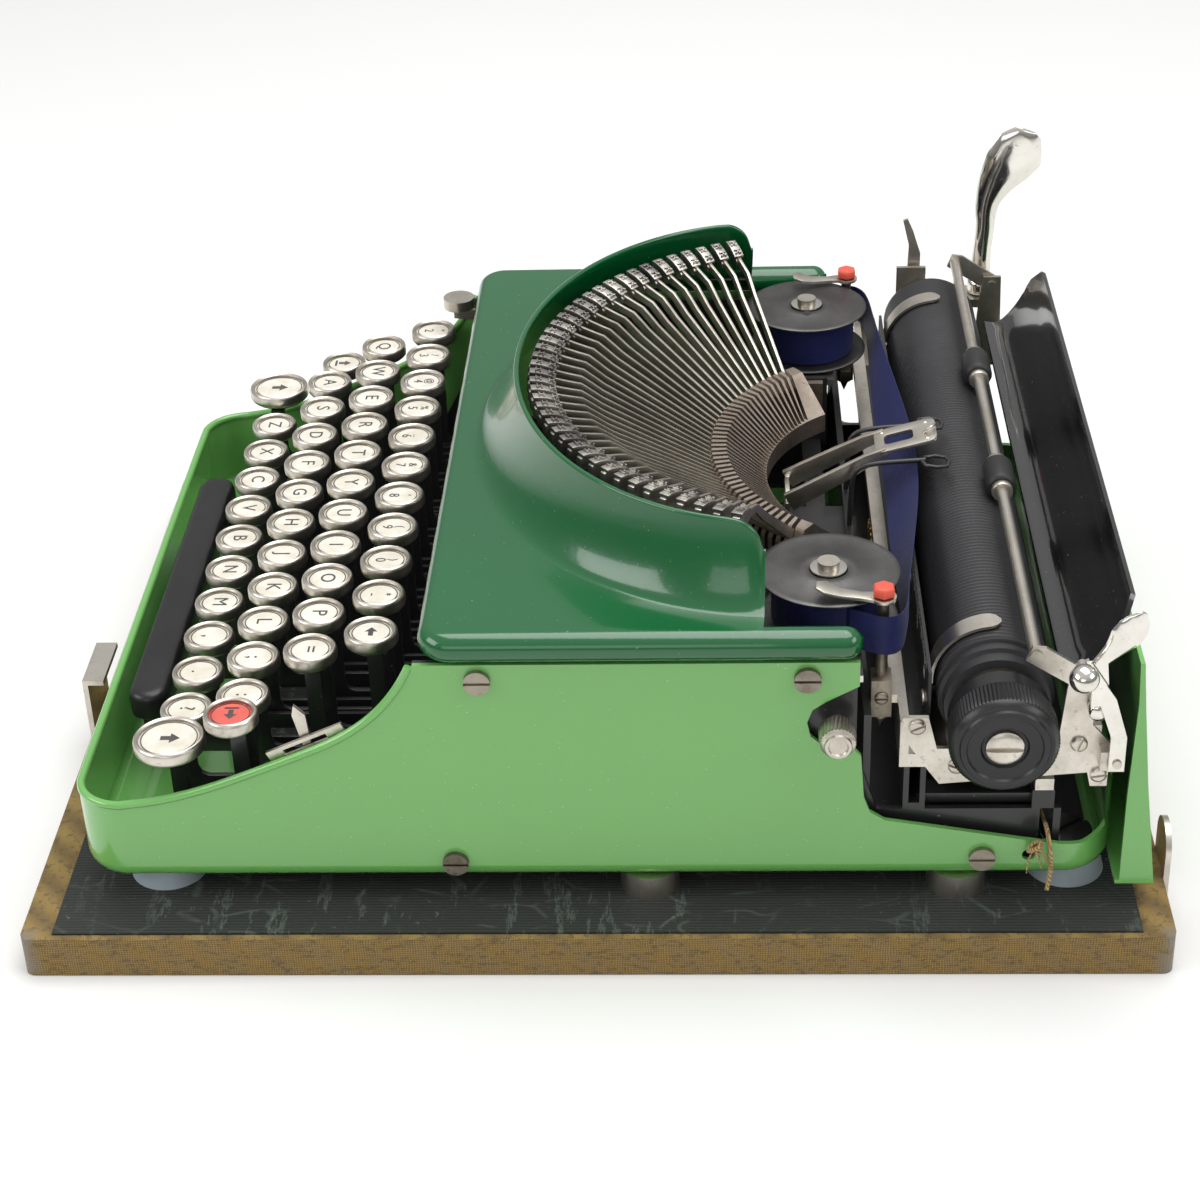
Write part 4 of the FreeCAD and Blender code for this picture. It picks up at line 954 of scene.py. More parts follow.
all_keys = list_keys()
key_bodies = sorted({key[0] for key in all_keys})
print("keys:", len(all_keys), "on bodies:", len(key_bodies))

# %% [markdown]
# ## Key tops
# A key top is a nickel ring pressed round a printed card and a glass disc, on a black cup at the end of
# a stamped lever. All four are round, so each is turned by the lathe, once for each size of key.

# %% Key items
ring_height = 4.2


def key_ring_mesh(radius):
    inner = radius - 1.25
    profile = [(inner, -ring_height), (radius - 0.5, -ring_height), (radius - 0.1, -ring_height + 0.5),
               (radius, -ring_height + 1.2), (radius, -1.2), (radius - 0.16, -0.6), (radius - 0.5, -0.15),
               (radius - 0.9, 0.0), (inner + 0.1, -0.1), (inner - 0.25, -0.45), (inner - 0.3, -0.9),
               (inner, -1.2)]
    return Shape().lathe(scaled(profile), (0, 0, 0), "z", 40).mesh("ring_item")


def key_card_mesh(radius):
    inner = radius - 1.3
    profile = [(0.0, -ring_height + 0.4), (inner, -ring_height + 0.4), (inner, -1.35), (inner - 0.9, -1.12),
               (inner - 2.6, -1.0), (0.0, -0.95)]
    return Shape().lathe(scaled(profile), (0, 0, 0), "z", 40).mesh("card_item")


def key_line_mesh(radius):
    """The thin printed circle near the edge of the card."""
    middle = radius - 2.25
    profile = [(middle - 0.14, -1.15), (middle + 0.14, -1.17), (middle + 0.14, -0.985),
               (middle - 0.14, -0.965)]
    return Shape().lathe(scaled(profile), (0, 0, 0), "z", 40).mesh("line_item")


def key_cup_mesh(radius):
    low = -ring_height - 1.1
    profile = [(0.0, low), (radius - 2.6, low), (radius - 1.2, low + 0.5), (radius - 0.6, -ring_height),
               (0.0, -ring_height)]
    return Shape().lathe(scaled(profile), (0, 0, 0), "z", 32).mesh("cup_item")


print("faces of a ring:", len(key_ring_mesh(key_radius).polygons))

# %% [markdown]
# ## Key tops on their places
# The rings, cards, printed circles and cups are alike for every key, so they repeat on points. There is
# one piece of each kind on each body, because the keys of one body move together.

# %% Place the key tops
for radius in (key_radius, shift_radius):
    items = (("ring", key_ring_mesh(radius), nickel), ("card", key_card_mesh(radius), cream_card),
             ("line", key_line_mesh(radius), legend_ink), ("cup", key_cup_mesh(radius), satin_black))
    for body in key_bodies:
        spots = [(at(k[1], k[2], k[3]), level) for k in all_keys if k[0] == body and k[5] == radius]
        if not spots:
            continue
        for part, item, material in items:
            if part == "card" and body == "tab_key":
                material = red_card
            repeat(body + "_" + part, spots, item, material, body)
print("key tops placed")

# %% [markdown]
# ## Legends
# A legend is printed on the card. An image would blur close up and need its own mapping. A flat text made
# into a mesh stays sharp, and is laid just under the level of the ring.

# %% Text and arrows
font_lift = -0.93
print_half = 0.04


def text_mesh(text, size):
    curve = bpy.data.curves.new("legend", "FONT")
    curve.body = text
    curve.size = size * mm
    curve.align_x = "CENTER"
    curve.align_y = "CENTER"
    curve.extrude = print_half * mm
    curve.resolution_u = 3
    holder = bpy.data.objects.new("legend", curve)
    mesh = bpy.data.meshes.new_from_object(holder)
    bpy.data.objects.remove(holder)
    bpy.data.curves.remove(curve)
    return mesh


def add_text(shape, text, size, x, y, z):
    mesh = text_mesh(text, size)
    shape.add([v.co + at(x, y, z) for v in mesh.vertices], [tuple(p.vertices) for p in mesh.polygons])
    bpy.data.meshes.remove(mesh)


def add_arrow(shape, x, y, z, size, turn, closed=False):
    """A plain arrow, the generic sign for shift, tab, lock and back space."""
    outlines = [[(0, 1.0), (0.75, 0.1), (0.3, 0.1), (0.3, -0.8), (-0.3, -0.8), (-0.3, 0.1), (-0.75, 0.1)]]
    if closed:
        outlines.append([(-0.85, -1.35), (0.85, -1.35), (0.85, -1.05), (-0.85, -1.05)])
    c, s = math.cos(math.radians(turn)), math.sin(math.radians(turn))
    for outline in outlines:
        turned = [((x + size * (a * c - b * s)) * mm, (y + size * (a * s + b * c)) * mm) for a, b in outline]
        shape.stamping(turned, (z - print_half) * mm, (z + print_half) * mm, "z")


print("legend thickness:", 2 * print_half, "mm")

# %% [markdown]
# ## Legends on their keys
# Letters fill the middle of a card, digits share it with a sign above them, and the working keys have a
# plain arrow. One piece on each body gathers all of its legends.

# %% Key legends
arrow_turns = {"shift": 0, "lock": 0, "tab": -90, "back": 90}
for body in key_bodies:
    shape = Shape()
    for name, x, y, top, lever, radius, mark in all_keys:
        if name != body:
            continue
        z = top + font_lift
        if mark in arrow_turns:
            size = 3.0 if mark == "shift" else 2.3
            add_arrow(shape, x, y, z, size, arrow_turns[mark], mark in ("tab", "lock"))
        elif mark in digit_marks:
            add_text(shape, digit_shift[digit_marks.index(mark)], 3.6, x, y + 2.1, z)
            add_text(shape, mark, 4.4, x, y - 1.7, z)
        else:
            add_text(shape, mark, 6.2, x, y, z)
    make_piece(body + "_legend", shape, legend_ink, body)

# %% [markdown]
# ## Key levers
# Each lever is a stamped strip on edge that comes forward under the keys and turns up into a stem. The
# frame's own levers could stay, but their corners are sharp. The same outline is stamped again here with
# softened corners and a thicker stem, and takes the place of the frame's rows.

# %% Lever outline
fulcrum_y, fulcrum_z = 38.0, 64.0
lever_bottom, lever_height = 34.0, 5.0
drop_y = -30.0
lever_half = 0.8


def lever_outline(y, stem_top, half_stem):
    level_z = lever_bottom + lever_height
    eye = [(fulcrum_y + u, fulcrum_z + v) for u, v in arc(3.6, -60, 120, 9)]
    return eye + [(drop_y, level_z), (y + half_stem + 3, level_z), (y + half_stem + 0.9, level_z + 0.9),
                  (y + half_stem, level_z + 3), (y + half_stem, stem_top), (y - half_stem, stem_top),
                  (y - half_stem, lever_bottom + 1.5), (y - half_stem + 1.5, lever_bottom),
                  (drop_y - 1, lever_bottom)]


def stem_cap(shape, x, y, lever, top):
    """The bent foot that carries the cup over to its lever."""
    low = top - ring_height - 3.0
    left, right = min(x, lever) - 1.6, max(x, lever) + 1.6
    shape.stamping(scaled([(left, low), (right, low), (right, low + 1.4), (left, low + 1.4)]),
                   (y - 2.2) * mm, (y + 2.2) * mm, "y")


print("points in a lever's outline:", len(lever_outline(-100.0, 60.0, 2.0)))

# %% [markdown]
# ## Stamping the levers
# Every key has its own lever, beside its neighbours on one fulcrum rod. A loop over the keys of a body
# stamps them all into one piece.

# %% Levers
stem_half = 2.25
for body in key_bodies:
    shape = Shape()
    for name, x, y, top, lever, radius, mark in all_keys:
        if name == body:
            outline = lever_outline(y, top - ring_height - 1.8, stem_half)
            shape.stamping(scaled(outline), (lever - lever_half) * mm, (lever + lever_half) * mm, "x")
            stem_cap(shape, x, y, lever, top)
    make_piece(body + "_levers", shape, satin_black, body, (body,), bevel=0.2 * mm)
print("levers stamped")

# %% [markdown]
# ## Space bar
# The space bar is one bakelite moulding with round ends and a soft top, on two levers like the keys' own.
# A bevelled box would have one radius all round. Here rings of a round-cornered outline shrink towards
# the top as the real moulding does.

# %% Space bar
def rounded_rectangle(half_x, half_y, radius, steps=6):
    """Outline points round a rectangle with round corners, about zero."""
    points = []
    for cx, cy, start in ((1, 1, 0), (-1, 1, 90), (-1, -1, 180), (1, -1, 270)):
        for u, v in arc(radius, start, start + 90, steps):
            points.append((cx * (half_x - radius) + u, cy * (half_y - radius) + v))
    return points


space_y, space_half_y, space_top, space_half_x = -131.5, 6.0, 49.4, 66.4
space_corner, space_depth = 5.9, 9.0
space_arms = (-58.9, 59.8)


def build_space_bar():
    top, low = space_top, space_top - space_depth
    rings = []
    for z, inset in ((low, 1.2), (low + 0.8, 0.2), (low + 3.0, 0.0), (top - 2.4, 0.15), (top - 1.2, 0.6),
                     (top - 0.5, 1.4), (top - 0.1, 2.7), (top, 4.2)):
        outline = rounded_rectangle(space_half_x - inset, space_half_y - inset, space_corner - inset, 7)
        rings.append([at(x, space_y + y, z) for x, y in outline])
    bar = make_piece("space_bar_moulding", Shape().loft(rings, closed=False), bakelite, "space_bar",
                     ("space_bar",))
    arms = Shape()
    for x in space_arms:
        outline = scaled(lever_outline(space_y, low + 0.2, 3.0))
        arms.stamping(outline, (x - lever_half) * mm, (x + lever_half) * mm)
    make_piece("space_bar_levers", arms, satin_black, "space_bar", bevel=0.2 * mm)
    return bar


space_bar = build_space_bar()
print("space bar faces:", len(space_bar.data.polygons))

# %% [markdown]
# ## Where the type bars are
# Forty-two forged bars fan out of the segment and rest on the curved cushion under the shield. Each is a
# thin strip on edge that cranks just before its end. All the places follow from a bar's share of the fan,
# so nothing is put down by hand.

# %% Type bar places
bar_count = 42
fan_half, spread_half = 50.0, 68.0
print_y, pivot_radius, pivot_z = 97.3, 61.3, 89.5
rest_y, bend_radius, slug_radius = 76.3, 83.0, 97.0
bend_z, slug_z = 116.0, 120.0
own_bars = {20: "type_bar_g", 21: "type_bar_h"}


def bar_points(index):
    share = 2 * index / (bar_count - 1) - 1
    fan, spread = math.radians(fan_half * share), math.radians(spread_half * share)
    pivot = Vector((pivot_radius * math.sin(fan), print_y - pivot_radius * math.cos(fan), pivot_z))
    bend = Vector((bend_radius * math.sin(spread), rest_y - bend_radius * math.cos(spread), bend_z))
    tip = Vector((slug_radius * math.sin(spread), rest_y - slug_radius * math.cos(spread), slug_z))
    return pivot, bend, tip


def bar_path(index):
    pivot, bend, tip = bar_points(index)
    lean = (bend - pivot).normalized()
    reach = (tip - bend).normalized()
    return [pivot - lean * 1.6, pivot, pivot + lean * 6, bend - lean * 9.0,
            bend - lean * 5.0 + Vector((0, 0, 0.5)), bend - lean * 2.0 + Vector((0, 0, 0.9)),
            bend + reach * 1.2 + Vector((0, 0, 0.2)), bend + reach * 4.6, bend + reach * 6.4]


bar_thickness = 0.95
bar_heights = [3.4, 3.6, 3.2, 2.5, 2.5, 2.4, 2.3, 2.5, 2.6]


def add_bar(shape, index):
    path = [p * mm for p in bar_path(index)]
    pivot, bend = bar_points(index)[:2]
    side = (bend - pivot).cross(Vector((0, 0, 1))).normalized()
    shape.bar(path, bar_thickness * mm, [h * mm for h in bar_heights], side)


print("first bar's pivot:", [round(v, 1) for v in bar_points(0)[0]])

# %% [markdown]
# ## Slugs
# A hard slug with two raised characters is soldered to the end of each bar. It is small and there are
# many, so a few stamped blocks and short strokes stand for its characters, and it stays light.

# %% Slug
def slug_mesh():
    """A slug lies along X: a solder pad, a block, and two raised characters on a curved face."""
    shape = Shape()
    block = [(-4.4, -1.4), (-2.6, -2.4), (3.6, -2.6), (4.4, -1.8), (4.6, 0.6), (3.6, 1.2), (-2.4, 1.2),
             (-4.2, 0.2)]
    shape.stamping(scaled(block), -1.0 * mm, 1.0 * mm, "y")
    face = [(-3.6, 1.0), (4.2, 1.0), (4.4, 1.9), (2.6, 2.3), (0.4, 2.45), (-1.8, 2.3), (-3.6, 1.8)]
    shape.stamping(scaled(face), -1.55 * mm, 1.55 * mm, "y")
    for x in (-2.1, 1.9):
        strokes = ((x - 0.9, -1.1, 0.45, 0.9), (x - 0.9, 0.3, 0.45, 0.8), (x + 0.5, -1.1, 0.45, 2.2),
                   (x - 0.45, -0.3, 0.95, 0.45))
        for sx, sy, wx, wy in strokes:
            outline = [(sx, sy), (sx + wx, sy), (sx + wx, sy + wy), (sx, sy + wy)]
            shape.stamping(scaled(outline), 2.2 * mm, 2.95 * mm, "z")
    return shape.mesh("slug_item", bevel=0.12 * mm)


def slug_spot(index):
    bend, tip = bar_points(index)[1:]
    reach = (tip - bend).normalized()
    place = bend + (tip - bend) * 0.66 + Vector((0, 0, 0.1))
    side = Vector((0, 0, 1)).cross(reach).normalized()
    up = reach.cross(side)
    turn = Matrix((reach, side, up)).transposed().to_euler()
    return place * mm, tuple(turn)


slug_item = slug_mesh()
print("faces of a slug:", len(slug_item.polygons))

# %% [markdown]
# ## Bars and slugs in place
# The strips differ, so each is swept along its own path. The slugs are alike, so they repeat on points.
# Two bars work, so each of them is a piece of its own, and the rest share one body.

# %% Type bars
bar_groups = {"type_basket": [i for i in range(bar_count) if i not in own_bars]}
bar_groups.update({name: [i] for i, name in own_bars.items()})
for body, indexes in bar_groups.items():
    shape = Shape()
    for index in indexes:
        add_bar(shape, index)
    hidden = "type_bars" if body == "type_basket" else body
    make_piece(body + "_strips", shape, type_steel, body, (hidden,), bevel=0.1 * mm)
    repeat(body + "_slugs", [slug_spot(i) for i in indexes], slug_item, slug_steel, body)
print("type bars:", bar_count)

# %% [markdown]
# ## Spools
# Each spool is two thin stamped discs on a hub, with the inked ribbon wound between them. All of it is
# round, so the lathe turns it, and the wound ribbon gets its layers from a radius that steps in and out.

# %% Spools
spool_x, spool_y, spool_radius = 83.4, 65.2, 19.4
spool_top, spool_height = 101.0, 15.5
bore, wound_radius, layers = 2.1, 15.3, 13


def build_spool(side):
    name = "ribbon_spool_right" if side > 0 else "ribbon_spool_left"
    x, low = side * spool_x, spool_top - spool_height
    axle = at(x, spool_y, 0)
    discs = Shape()
    for z in (spool_top - 0.8, low):
        edge = spool_radius
        profile = [(bore, z), (edge - 0.4, z), (edge, z + 0.25), (edge, z + 0.6), (edge - 0.4, z + 0.85),
                   (edge - 1.6, z + 0.8), (8.4, z + 0.8), (8.0, z + 1.0), (5.6, z + 1.0), (5.2, z + 0.8),
                   (bore, z + 0.8)]
        discs.lathe(scaled(profile), axle, "z", 64)
    hub = [(bore, low), (6.0, low), (6.0, spool_top), (bore, spool_top)]
    discs.lathe(scaled(hub), axle, "z", 32)
    make_piece(name + "_discs", discs, gunmetal, name, (name,))
    profile = [(6.0, low + 1.2)]
    for i in range(layers):
        profile.append((wound_radius + (0.22 if i % 2 else 0.0),
                        low + 1.2 + i * (spool_height - 2.4) / (layers - 1)))
    profile.append((6.0, spool_top - 1.2))
    pack = Shape().lathe(scaled(profile), axle, "z", 64)
    make_piece(name + "_ribbon", pack, ribbon_cloth, name)
    # The slot in the disc is not cut. A thin black sheet laid on the top disc is painted shade, standing in
    # for the dark inside the slot.
    mark = Shape()
    keyhole_shade = [(u - 6.6, v) for u, v in arc(1.5, 30, 330, 11)] + [(-3.0, -0.7), (-3.0, 0.7)]
    outline = [((x + side * a) * mm, (spool_y + b) * mm) for a, b in keyhole_shade]
    mark.stamping(outline, (spool_top + 0.2) * mm, (spool_top + 0.32) * mm, "z")
    make_piece(name + "_keyhole", mark, black_rubber, name)
    washer = Shape()
    profile = [(2.05, 0.1), (5.0, 0.1), (5.0, 0.45), (3.6, 0.6), (2.05, 0.6)]
    washer.lathe([(r * mm, (spool_top + 0.2 + z) * mm) for r, z in profile], axle, "z", 40)
    make_piece(name + "_washer", washer, polished, name)


for side in (1, -1):
    build_spool(side)
print("spools built")

# %% [markdown]
# ## Ribbon
# The ribbon leaves a spool, turns round a post and crosses to the other side. Cloth simulation would be
# slow for a tight band. It is lofted between two smooth edges, its lower and its upper selvedge, with a
# slight belly that comes and goes.

# %% Ribbon
ribbon_thickness = 0.28
ribbon_route = [((99.4, 70.2, 86.6), (99.4, 70.2, 98.4)), ((102.6, 75.2, 86.6), (102.6, 75.2, 98.4)),
                ((104.2, 79.6, 86.5), (104.2, 79.6, 98.3)), ((102.8, 83.2, 86.3), (102.8, 83.2, 98.1)),
                ((97.0, 85.6, 86.0), (97.0, 85.9, 97.8)), ((80.0, 85.6, 84.6), (80.0, 87.4, 96.0)),
                ((55.0, 85.2, 82.4), (55.0, 90.6, 93.0)), ((28.0, 85.4, 80.9), (28.0, 93.8, 91.4)),
                ((10.0, 86.0, 80.3), (10.0, 95.0, 90.8))]


def build_ribbon():
    low = [at(*a) for a, b in ribbon_route]
    up = [at(*b) for a, b in ribbon_route]
    low += [Vector((-p.x, p.y, p.z)) for p in low[::-1]]
    up += [Vector((-p.x, p.y, p.z)) for p in up[::-1]]
    low, up = smooth_path(low, 6), smooth_path(up, 6)
    rings = []
    for i, (a, b) in enumerate(zip(low, up)):
        ahead = (low[min(i + 1, len(low) - 1)] - low[max(i - 1, 0)]).normalized()
        out = ahead.cross((b - a).normalized()) * ribbon_thickness * mm / 2
        belly = out.normalized() * 0.5 * mm * math.sin(i * 0.35)
        front = [a.lerp(b, k / 4) + belly * math.sin(math.pi * k / 4) for k in range(5)]
        rings.append([p + out for p in front] + [p - out for p in front[::-1]])
    return make_piece("inked_ribbon", Shape().loft(rings, closed=False), ribbon_cloth, "root",
                      ("ribbon",), sharp=70.0)


ribbon = build_ribbon()
print("ribbon faces:", len(ribbon.data.polygons))

# %% [markdown]
# ## Ribbon vibrator
# The vibrator is a nickel stamping: two tapered arms that carry a plate with a round-cornered window,
# which the ribbon threads through. Cutting the window with a Boolean would leave long thin faces. A closed
# loft through four outlines, outer and inner, gives a plate with a clean window.

# %% Framed plate
def framed_plate(shape, outer, inner, place, thickness):
    """Plate with one window. Place turns (u, v, lift) into a point."""
    shape.loft([[place(u, v, 0) for u, v in outer], [place(u, v, thickness) for u, v in outer],
                [place(u, v, thickness) for u, v in inner], [place(u, v, 0) for u, v in inner]])


print("framed plate ready")

# %% [markdown]
# ## The vibrator's stamping
# Its foot and arms are bars and stampings, its window is a plate with a hole, and its wire eye and rivets
# finish the tip. They are fixed to each other on the real part, so here they are one piece.

# %% Build the vibrator
def build_vibrator():
    shape = Shape()
    shape.stamping(scaled([(-8, 56), (8, 56), (8, 78.5), (5.6, 80), (-5.6, 80), (-8, 78.5)]),
                   56.0 * mm, 57.4 * mm, "y")
    for side in (-1, 1):
        path = [at(side * 7.2, 56.9, 78.6), at(side * 7.1, 62.0, 81.6), at(side * 6.6, 72.0, 87.2),
                at(side * 6.1, 80.0, 91.8), at(side * 5.7, 86.0, 94.6)]
        shape.bar(path, 1.8 * mm, [6.0 * mm, 5.4 * mm, 4.8 * mm, 4.0 * mm, 3.0 * mm])
    along = Vector((0, 13.5, 3.7)).normalized()
    lift = Vector((0, -3.7, 13.5)).normalized()
    middle = Vector((0, 90.6, 95.6))

    def place(u, v, thickness):
        return (middle + Vector((u, 0, 0)) + along * v + lift * thickness) * mm

    outer = [(u, v + 1.4) for u, v in rounded_rectangle(7.0, 9.4, 2.6)]
    inner = [(u, v - 0.6) for u, v in rounded_rectangle(2.9, 4.4, 1.4)]
    framed_plate(shape, outer, inner, place, 1.2)
    hook = [place(1.5, 7.0, 1.3), place(2.6, 8.4, 2.6), place(2.0, 10.2, 3.0), place(-0.4, 10.8, 2.2)]
    shape.tube(smooth_path(hook, 4), 0.5 * mm, 8)
    for side in (-1, 1):
        for v in (-5.4, 8.0):
            centre = place(side * 4.9, v, 1.0)
            rivet = [(0.0, -0.2), (0.85, -0.2), (0.8, 0.2), (0.4, 0.4), (0.0, 0.42)]
            shape.lathe(scaled(rivet), centre, "z", 14)
    return make_piece("vibrator_plate", shape, nickel, "ribbon_vibrator", ("ribbon_vibrator",),
                      bevel=0.18 * mm)


vibrator = build_vibrator()
print("vibrator faces:", len(vibrator.data.polygons))

# %% [markdown]
# ## Reversing levers
# Beside each spool a bent nickel spoon turns on the guide post under a red hexagonal cap. It is pushed
# over by hand or by the ribbon's eyelet to change the ribbon's direction. A bar along a bent path can
# have a width of its own at each point, which gives the waist and the broad end in one piece.

# %% Reversing levers
post_x, post_y, lever_z = 100.5, 79.0, 101.9


def build_reversing_lever(side):
    name = "reverse_lever_right" if side > 0 else "reverse_lever_left"
    shape = Shape()
    ring = [(1.75, 0.0), (3.5, 0.0), (3.5, 1.0), (1.75, 1.0)]
    shape.lathe([(r * mm, (lever_z + z) * mm) for r, z in ring], at(side * post_x, post_y, 0), "z", 28)
    path = [at(side * post_x, post_y - 2.2, lever_z + 0.5), at(side * (post_x - 0.6), 73.0, lever_z + 0.5),
            at(side * (post_x - 1.6), 67.6, lever_z + 0.9), at(side * (post_x - 2.4), 63.6, lever_z + 2.2),
            at(side * (post_x - 2.6), 61.2, lever_z + 2.8)]
    widths, thicknesses = (4.6, 3.4, 4.4, 6.6, 3.6), (1.0, 1.0, 0.9, 0.8, 0.7)
    shape.bar(path, [w * mm for w in widths], [t * mm for t in thicknesses])
    make_piece(name + "_spoon", shape, nickel, name, (name,), bevel=0.2 * mm)
    cap = Shape()
    rings = []
    for radius, z in ((2.9, 1.35), (3.2, 1.6), (3.2, 3.4), (2.7, 4.1)):
        rings.append([at(side * post_x + u, post_y + v, lever_z + z) for u, v in arc(radius, 0, 300, 6)])
    cap.loft(rings, closed=False)
    make_piece(name + "_red_cap", cap, red_cap, "root", bevel=0.15 * mm)


for side in (1, -1):
    build_reversing_lever(side)
print("reversing levers built")

# %% [markdown]
# ## Platen
# The platen is a hard rubber roller, turned with fine grip rings. A bump could draw the rings, but they
# show at the roller's outline, so they are cut into the profile that the lathe turns.

# %% Platen
platen_y, platen_z, platen_radius = 109.3, 74.7, 15.6
core_radius, ring_pitch, ring_depth = 12.05, 1.7, 0.16
platen_low, platen_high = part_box("platen")


def build_platen():
    left, right = platen_low.x / mm, platen_high.x / mm
    profile = [(core_radius, left), (platen_radius - 0.8, left), (platen_radius, left + 0.7)]
    x = left + 3.0
    while x < right - 9.0:
        profile += [(platen_radius, x), (platen_radius - ring_depth, x + 0.3), (platen_radius, x + 0.6)]
        x += ring_pitch
    profile += [(platen_radius, right - 8.6), (platen_radius - 0.9, right - 8.2),
                (platen_radius - 0.9, right - 6.4), (platen_radius - 0.1, right - 6.0),
                (platen_radius - 0.1, right - 4.2), (platen_radius - 1.2, right - 3.8),
                (platen_radius - 1.4, right - 0.4), (core_radius, right)]
    shape = Shape().lathe(scaled(profile), at(0, platen_y, platen_z), "x", 72)
    return make_piece("platen_rubber", shape, platen_rubber, "platen_assembly", ("platen",),
                      sharp=60.0)


platen = build_platen()
print("platen faces:", len(platen.data.polygons))

# %% [markdown]
# ## Teeth and slots
# Knobs have finely toothed rims and screws have slotted heads. The teeth come from a radius that goes up
# and down round the rim, which a plain lathe can't do. A slotted head is two domed halves with a gap
# between them on a low bed, so no cut is needed.

# %% Toothed rims and slotted heads
def toothed_rim(shape, profile, centre, teeth, depth, twist=0.0):
    """Closed (radius, along, toothed) outline turned about X, with teeth where toothed is 1."""
    rings = []
    for i in range(teeth * 2):
        a = math.pi * i / teeth
        ring = []
        for k, (radius, along, toothed) in enumerate(profile):
            r = radius - (depth if i % 2 else 0.0) * toothed
            b = a + twist * k * toothed
            ring.append(Vector(centre) + Vector((along, r * math.cos(b), r * math.sin(b))) * mm)
        rings.append(ring)
    shape.loft(rings)


def slotted_head(shape, x, y, z, radius, height, out=1):
    """Domed slotted screw head facing along X."""
    cut = radius * 0.16
    for sign in (-1, 1):
        rings = []
        for inset, rise in ((0.0, 0.0), (0.0, 0.55), (0.12, 0.85), (0.35, 1.0)):
            r = radius * (1 - inset)
            edge = math.degrees(math.asin(min(0.95, cut / r)))
            half = arc(r, edge, 180 - edge, 14)
            rings.append([at(x + out * rise * height, y + u, z + sign * v) for u, v in half])
        shape.loft(rings, closed=False)
    bed = [(0.0, 0.0), (radius * 0.98, 0.0), (radius * 0.98, height * 0.35), (0.0, height * 0.35)]
    shape.lathe([(r * mm, (x + out * a) * mm) for r, a in bed], at(0, y, z), "x", 28)


print("toothed rims and slotted heads ready")

# %% [markdown]
# ## Platen knob
# The knob is bakelite: a finely toothed rim, a raised ring on the face and a slotted nickel screw in the
# middle. Each point of its profile says whether the teeth reach it.

# %% Platen knob
knob_low, knob_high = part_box("platen_knob")
knob_radius, knob_teeth, tooth_depth = 14.5, 84, 0.32


def build_knob():
    left, right, radius = knob_low.x / mm, knob_high.x / mm, knob_radius
    profile = [(3.1, left, 0), (radius - 1.6, left, 0), (radius - 0.9, left + 0.6, 0),
               (radius - 0.9, left + 6.0, 0), (radius - 0.2, left + 6.4, 1), (radius, left + 7.0, 1),
               (radius, right - 3.0, 1), (radius - 0.2, right - 2.4, 1), (radius - 0.7, right - 1.7, 0),
               (radius - 1.6, right - 0.9, 0), (radius - 2.6, right - 0.9, 0), (radius - 3.0, right - 0.3, 0),
               (radius - 4.4, right - 0.1, 0), (radius - 4.8, right - 0.7, 0), (6.4, right - 0.9, 0),
               (5.9, right - 1.6, 0), (3.1, right - 1.6, 0)]
    grip = Shape()
    toothed_rim(grip, profile, at(0, platen_y, platen_z), knob_teeth, tooth_depth)
    make_piece("knob_grip", grip, bakelite, "platen_assembly", ("platen_knob",),
               sharp=40.0)
    screw = Shape()
    slotted_head(screw, right - 1.7, platen_y, platen_z, 5.0, 1.6)
    make_piece("knob_screw", screw, nickel, "platen_assembly")


build_knob()
print("knob teeth:", knob_teeth)

# %% [markdown]
# ## Basket knob
# A small nickel knob on the right side raises the type basket to its working height. Its teeth are
# coarser and lean a little, as a rolled grip does, so the rim gets a twist from point to point.

# %% Basket knob
basket_knob_y, basket_knob_z, basket_knob_start = 66.5, 71.5, 104.0


def build_raising_knob():
    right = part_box("raising_knob")[1].x / mm
    left = right - 8.6
    y, z, start = basket_knob_y, basket_knob_z, basket_knob_start
    profile = [(2.0, start, 0), (2.0, left - 0.1, 0), (4.0, left, 0), (4.8, left + 0.3, 1),
               (5.0, left + 0.8, 1), (5.0, left + 3.0, 1), (5.0, left + 5.2, 1), (4.8, left + 6.6, 1),
               (4.2, left + 7.4, 0), (3.7, left + 7.8, 0), (3.5, right - 0.1, 0), (2.7, right, 0),
               (2.4, right - 0.5, 0), (0.01, right - 0.5, 0), (0.01, start, 0)]
    knob = Shape()
    toothed_rim(knob, profile, at(0, y, z), 30, 0.4, 0.05)
    knob.lathe(scaled([(0.01, 103.1), (4.4, 103.1), (4.4, 105.9), (0.01, 105.9)]), at(0, y, z), "x", 28)
    make_piece("basket_knob", knob, nickel, "raising_knob", ("raising_knob",), sharp=30.0)


build_raising_knob()
print("basket knob built")

# %% [markdown]
# ## Paper table
# Behind the platen a curved sheet of black enamel leans back to hold the paper. Its upper corners are
# round, and its top edge is folded over. A grid of columns along one smooth curve makes the sheet, each
# column shorter near the ends, and the two sides of the sheet are pushed out from it.

# %% Paper table
table_low, table_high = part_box("paper_table")
table_corner, table_columns = 6, 40
sheet_half, fold_fat = 0.5, 1.5


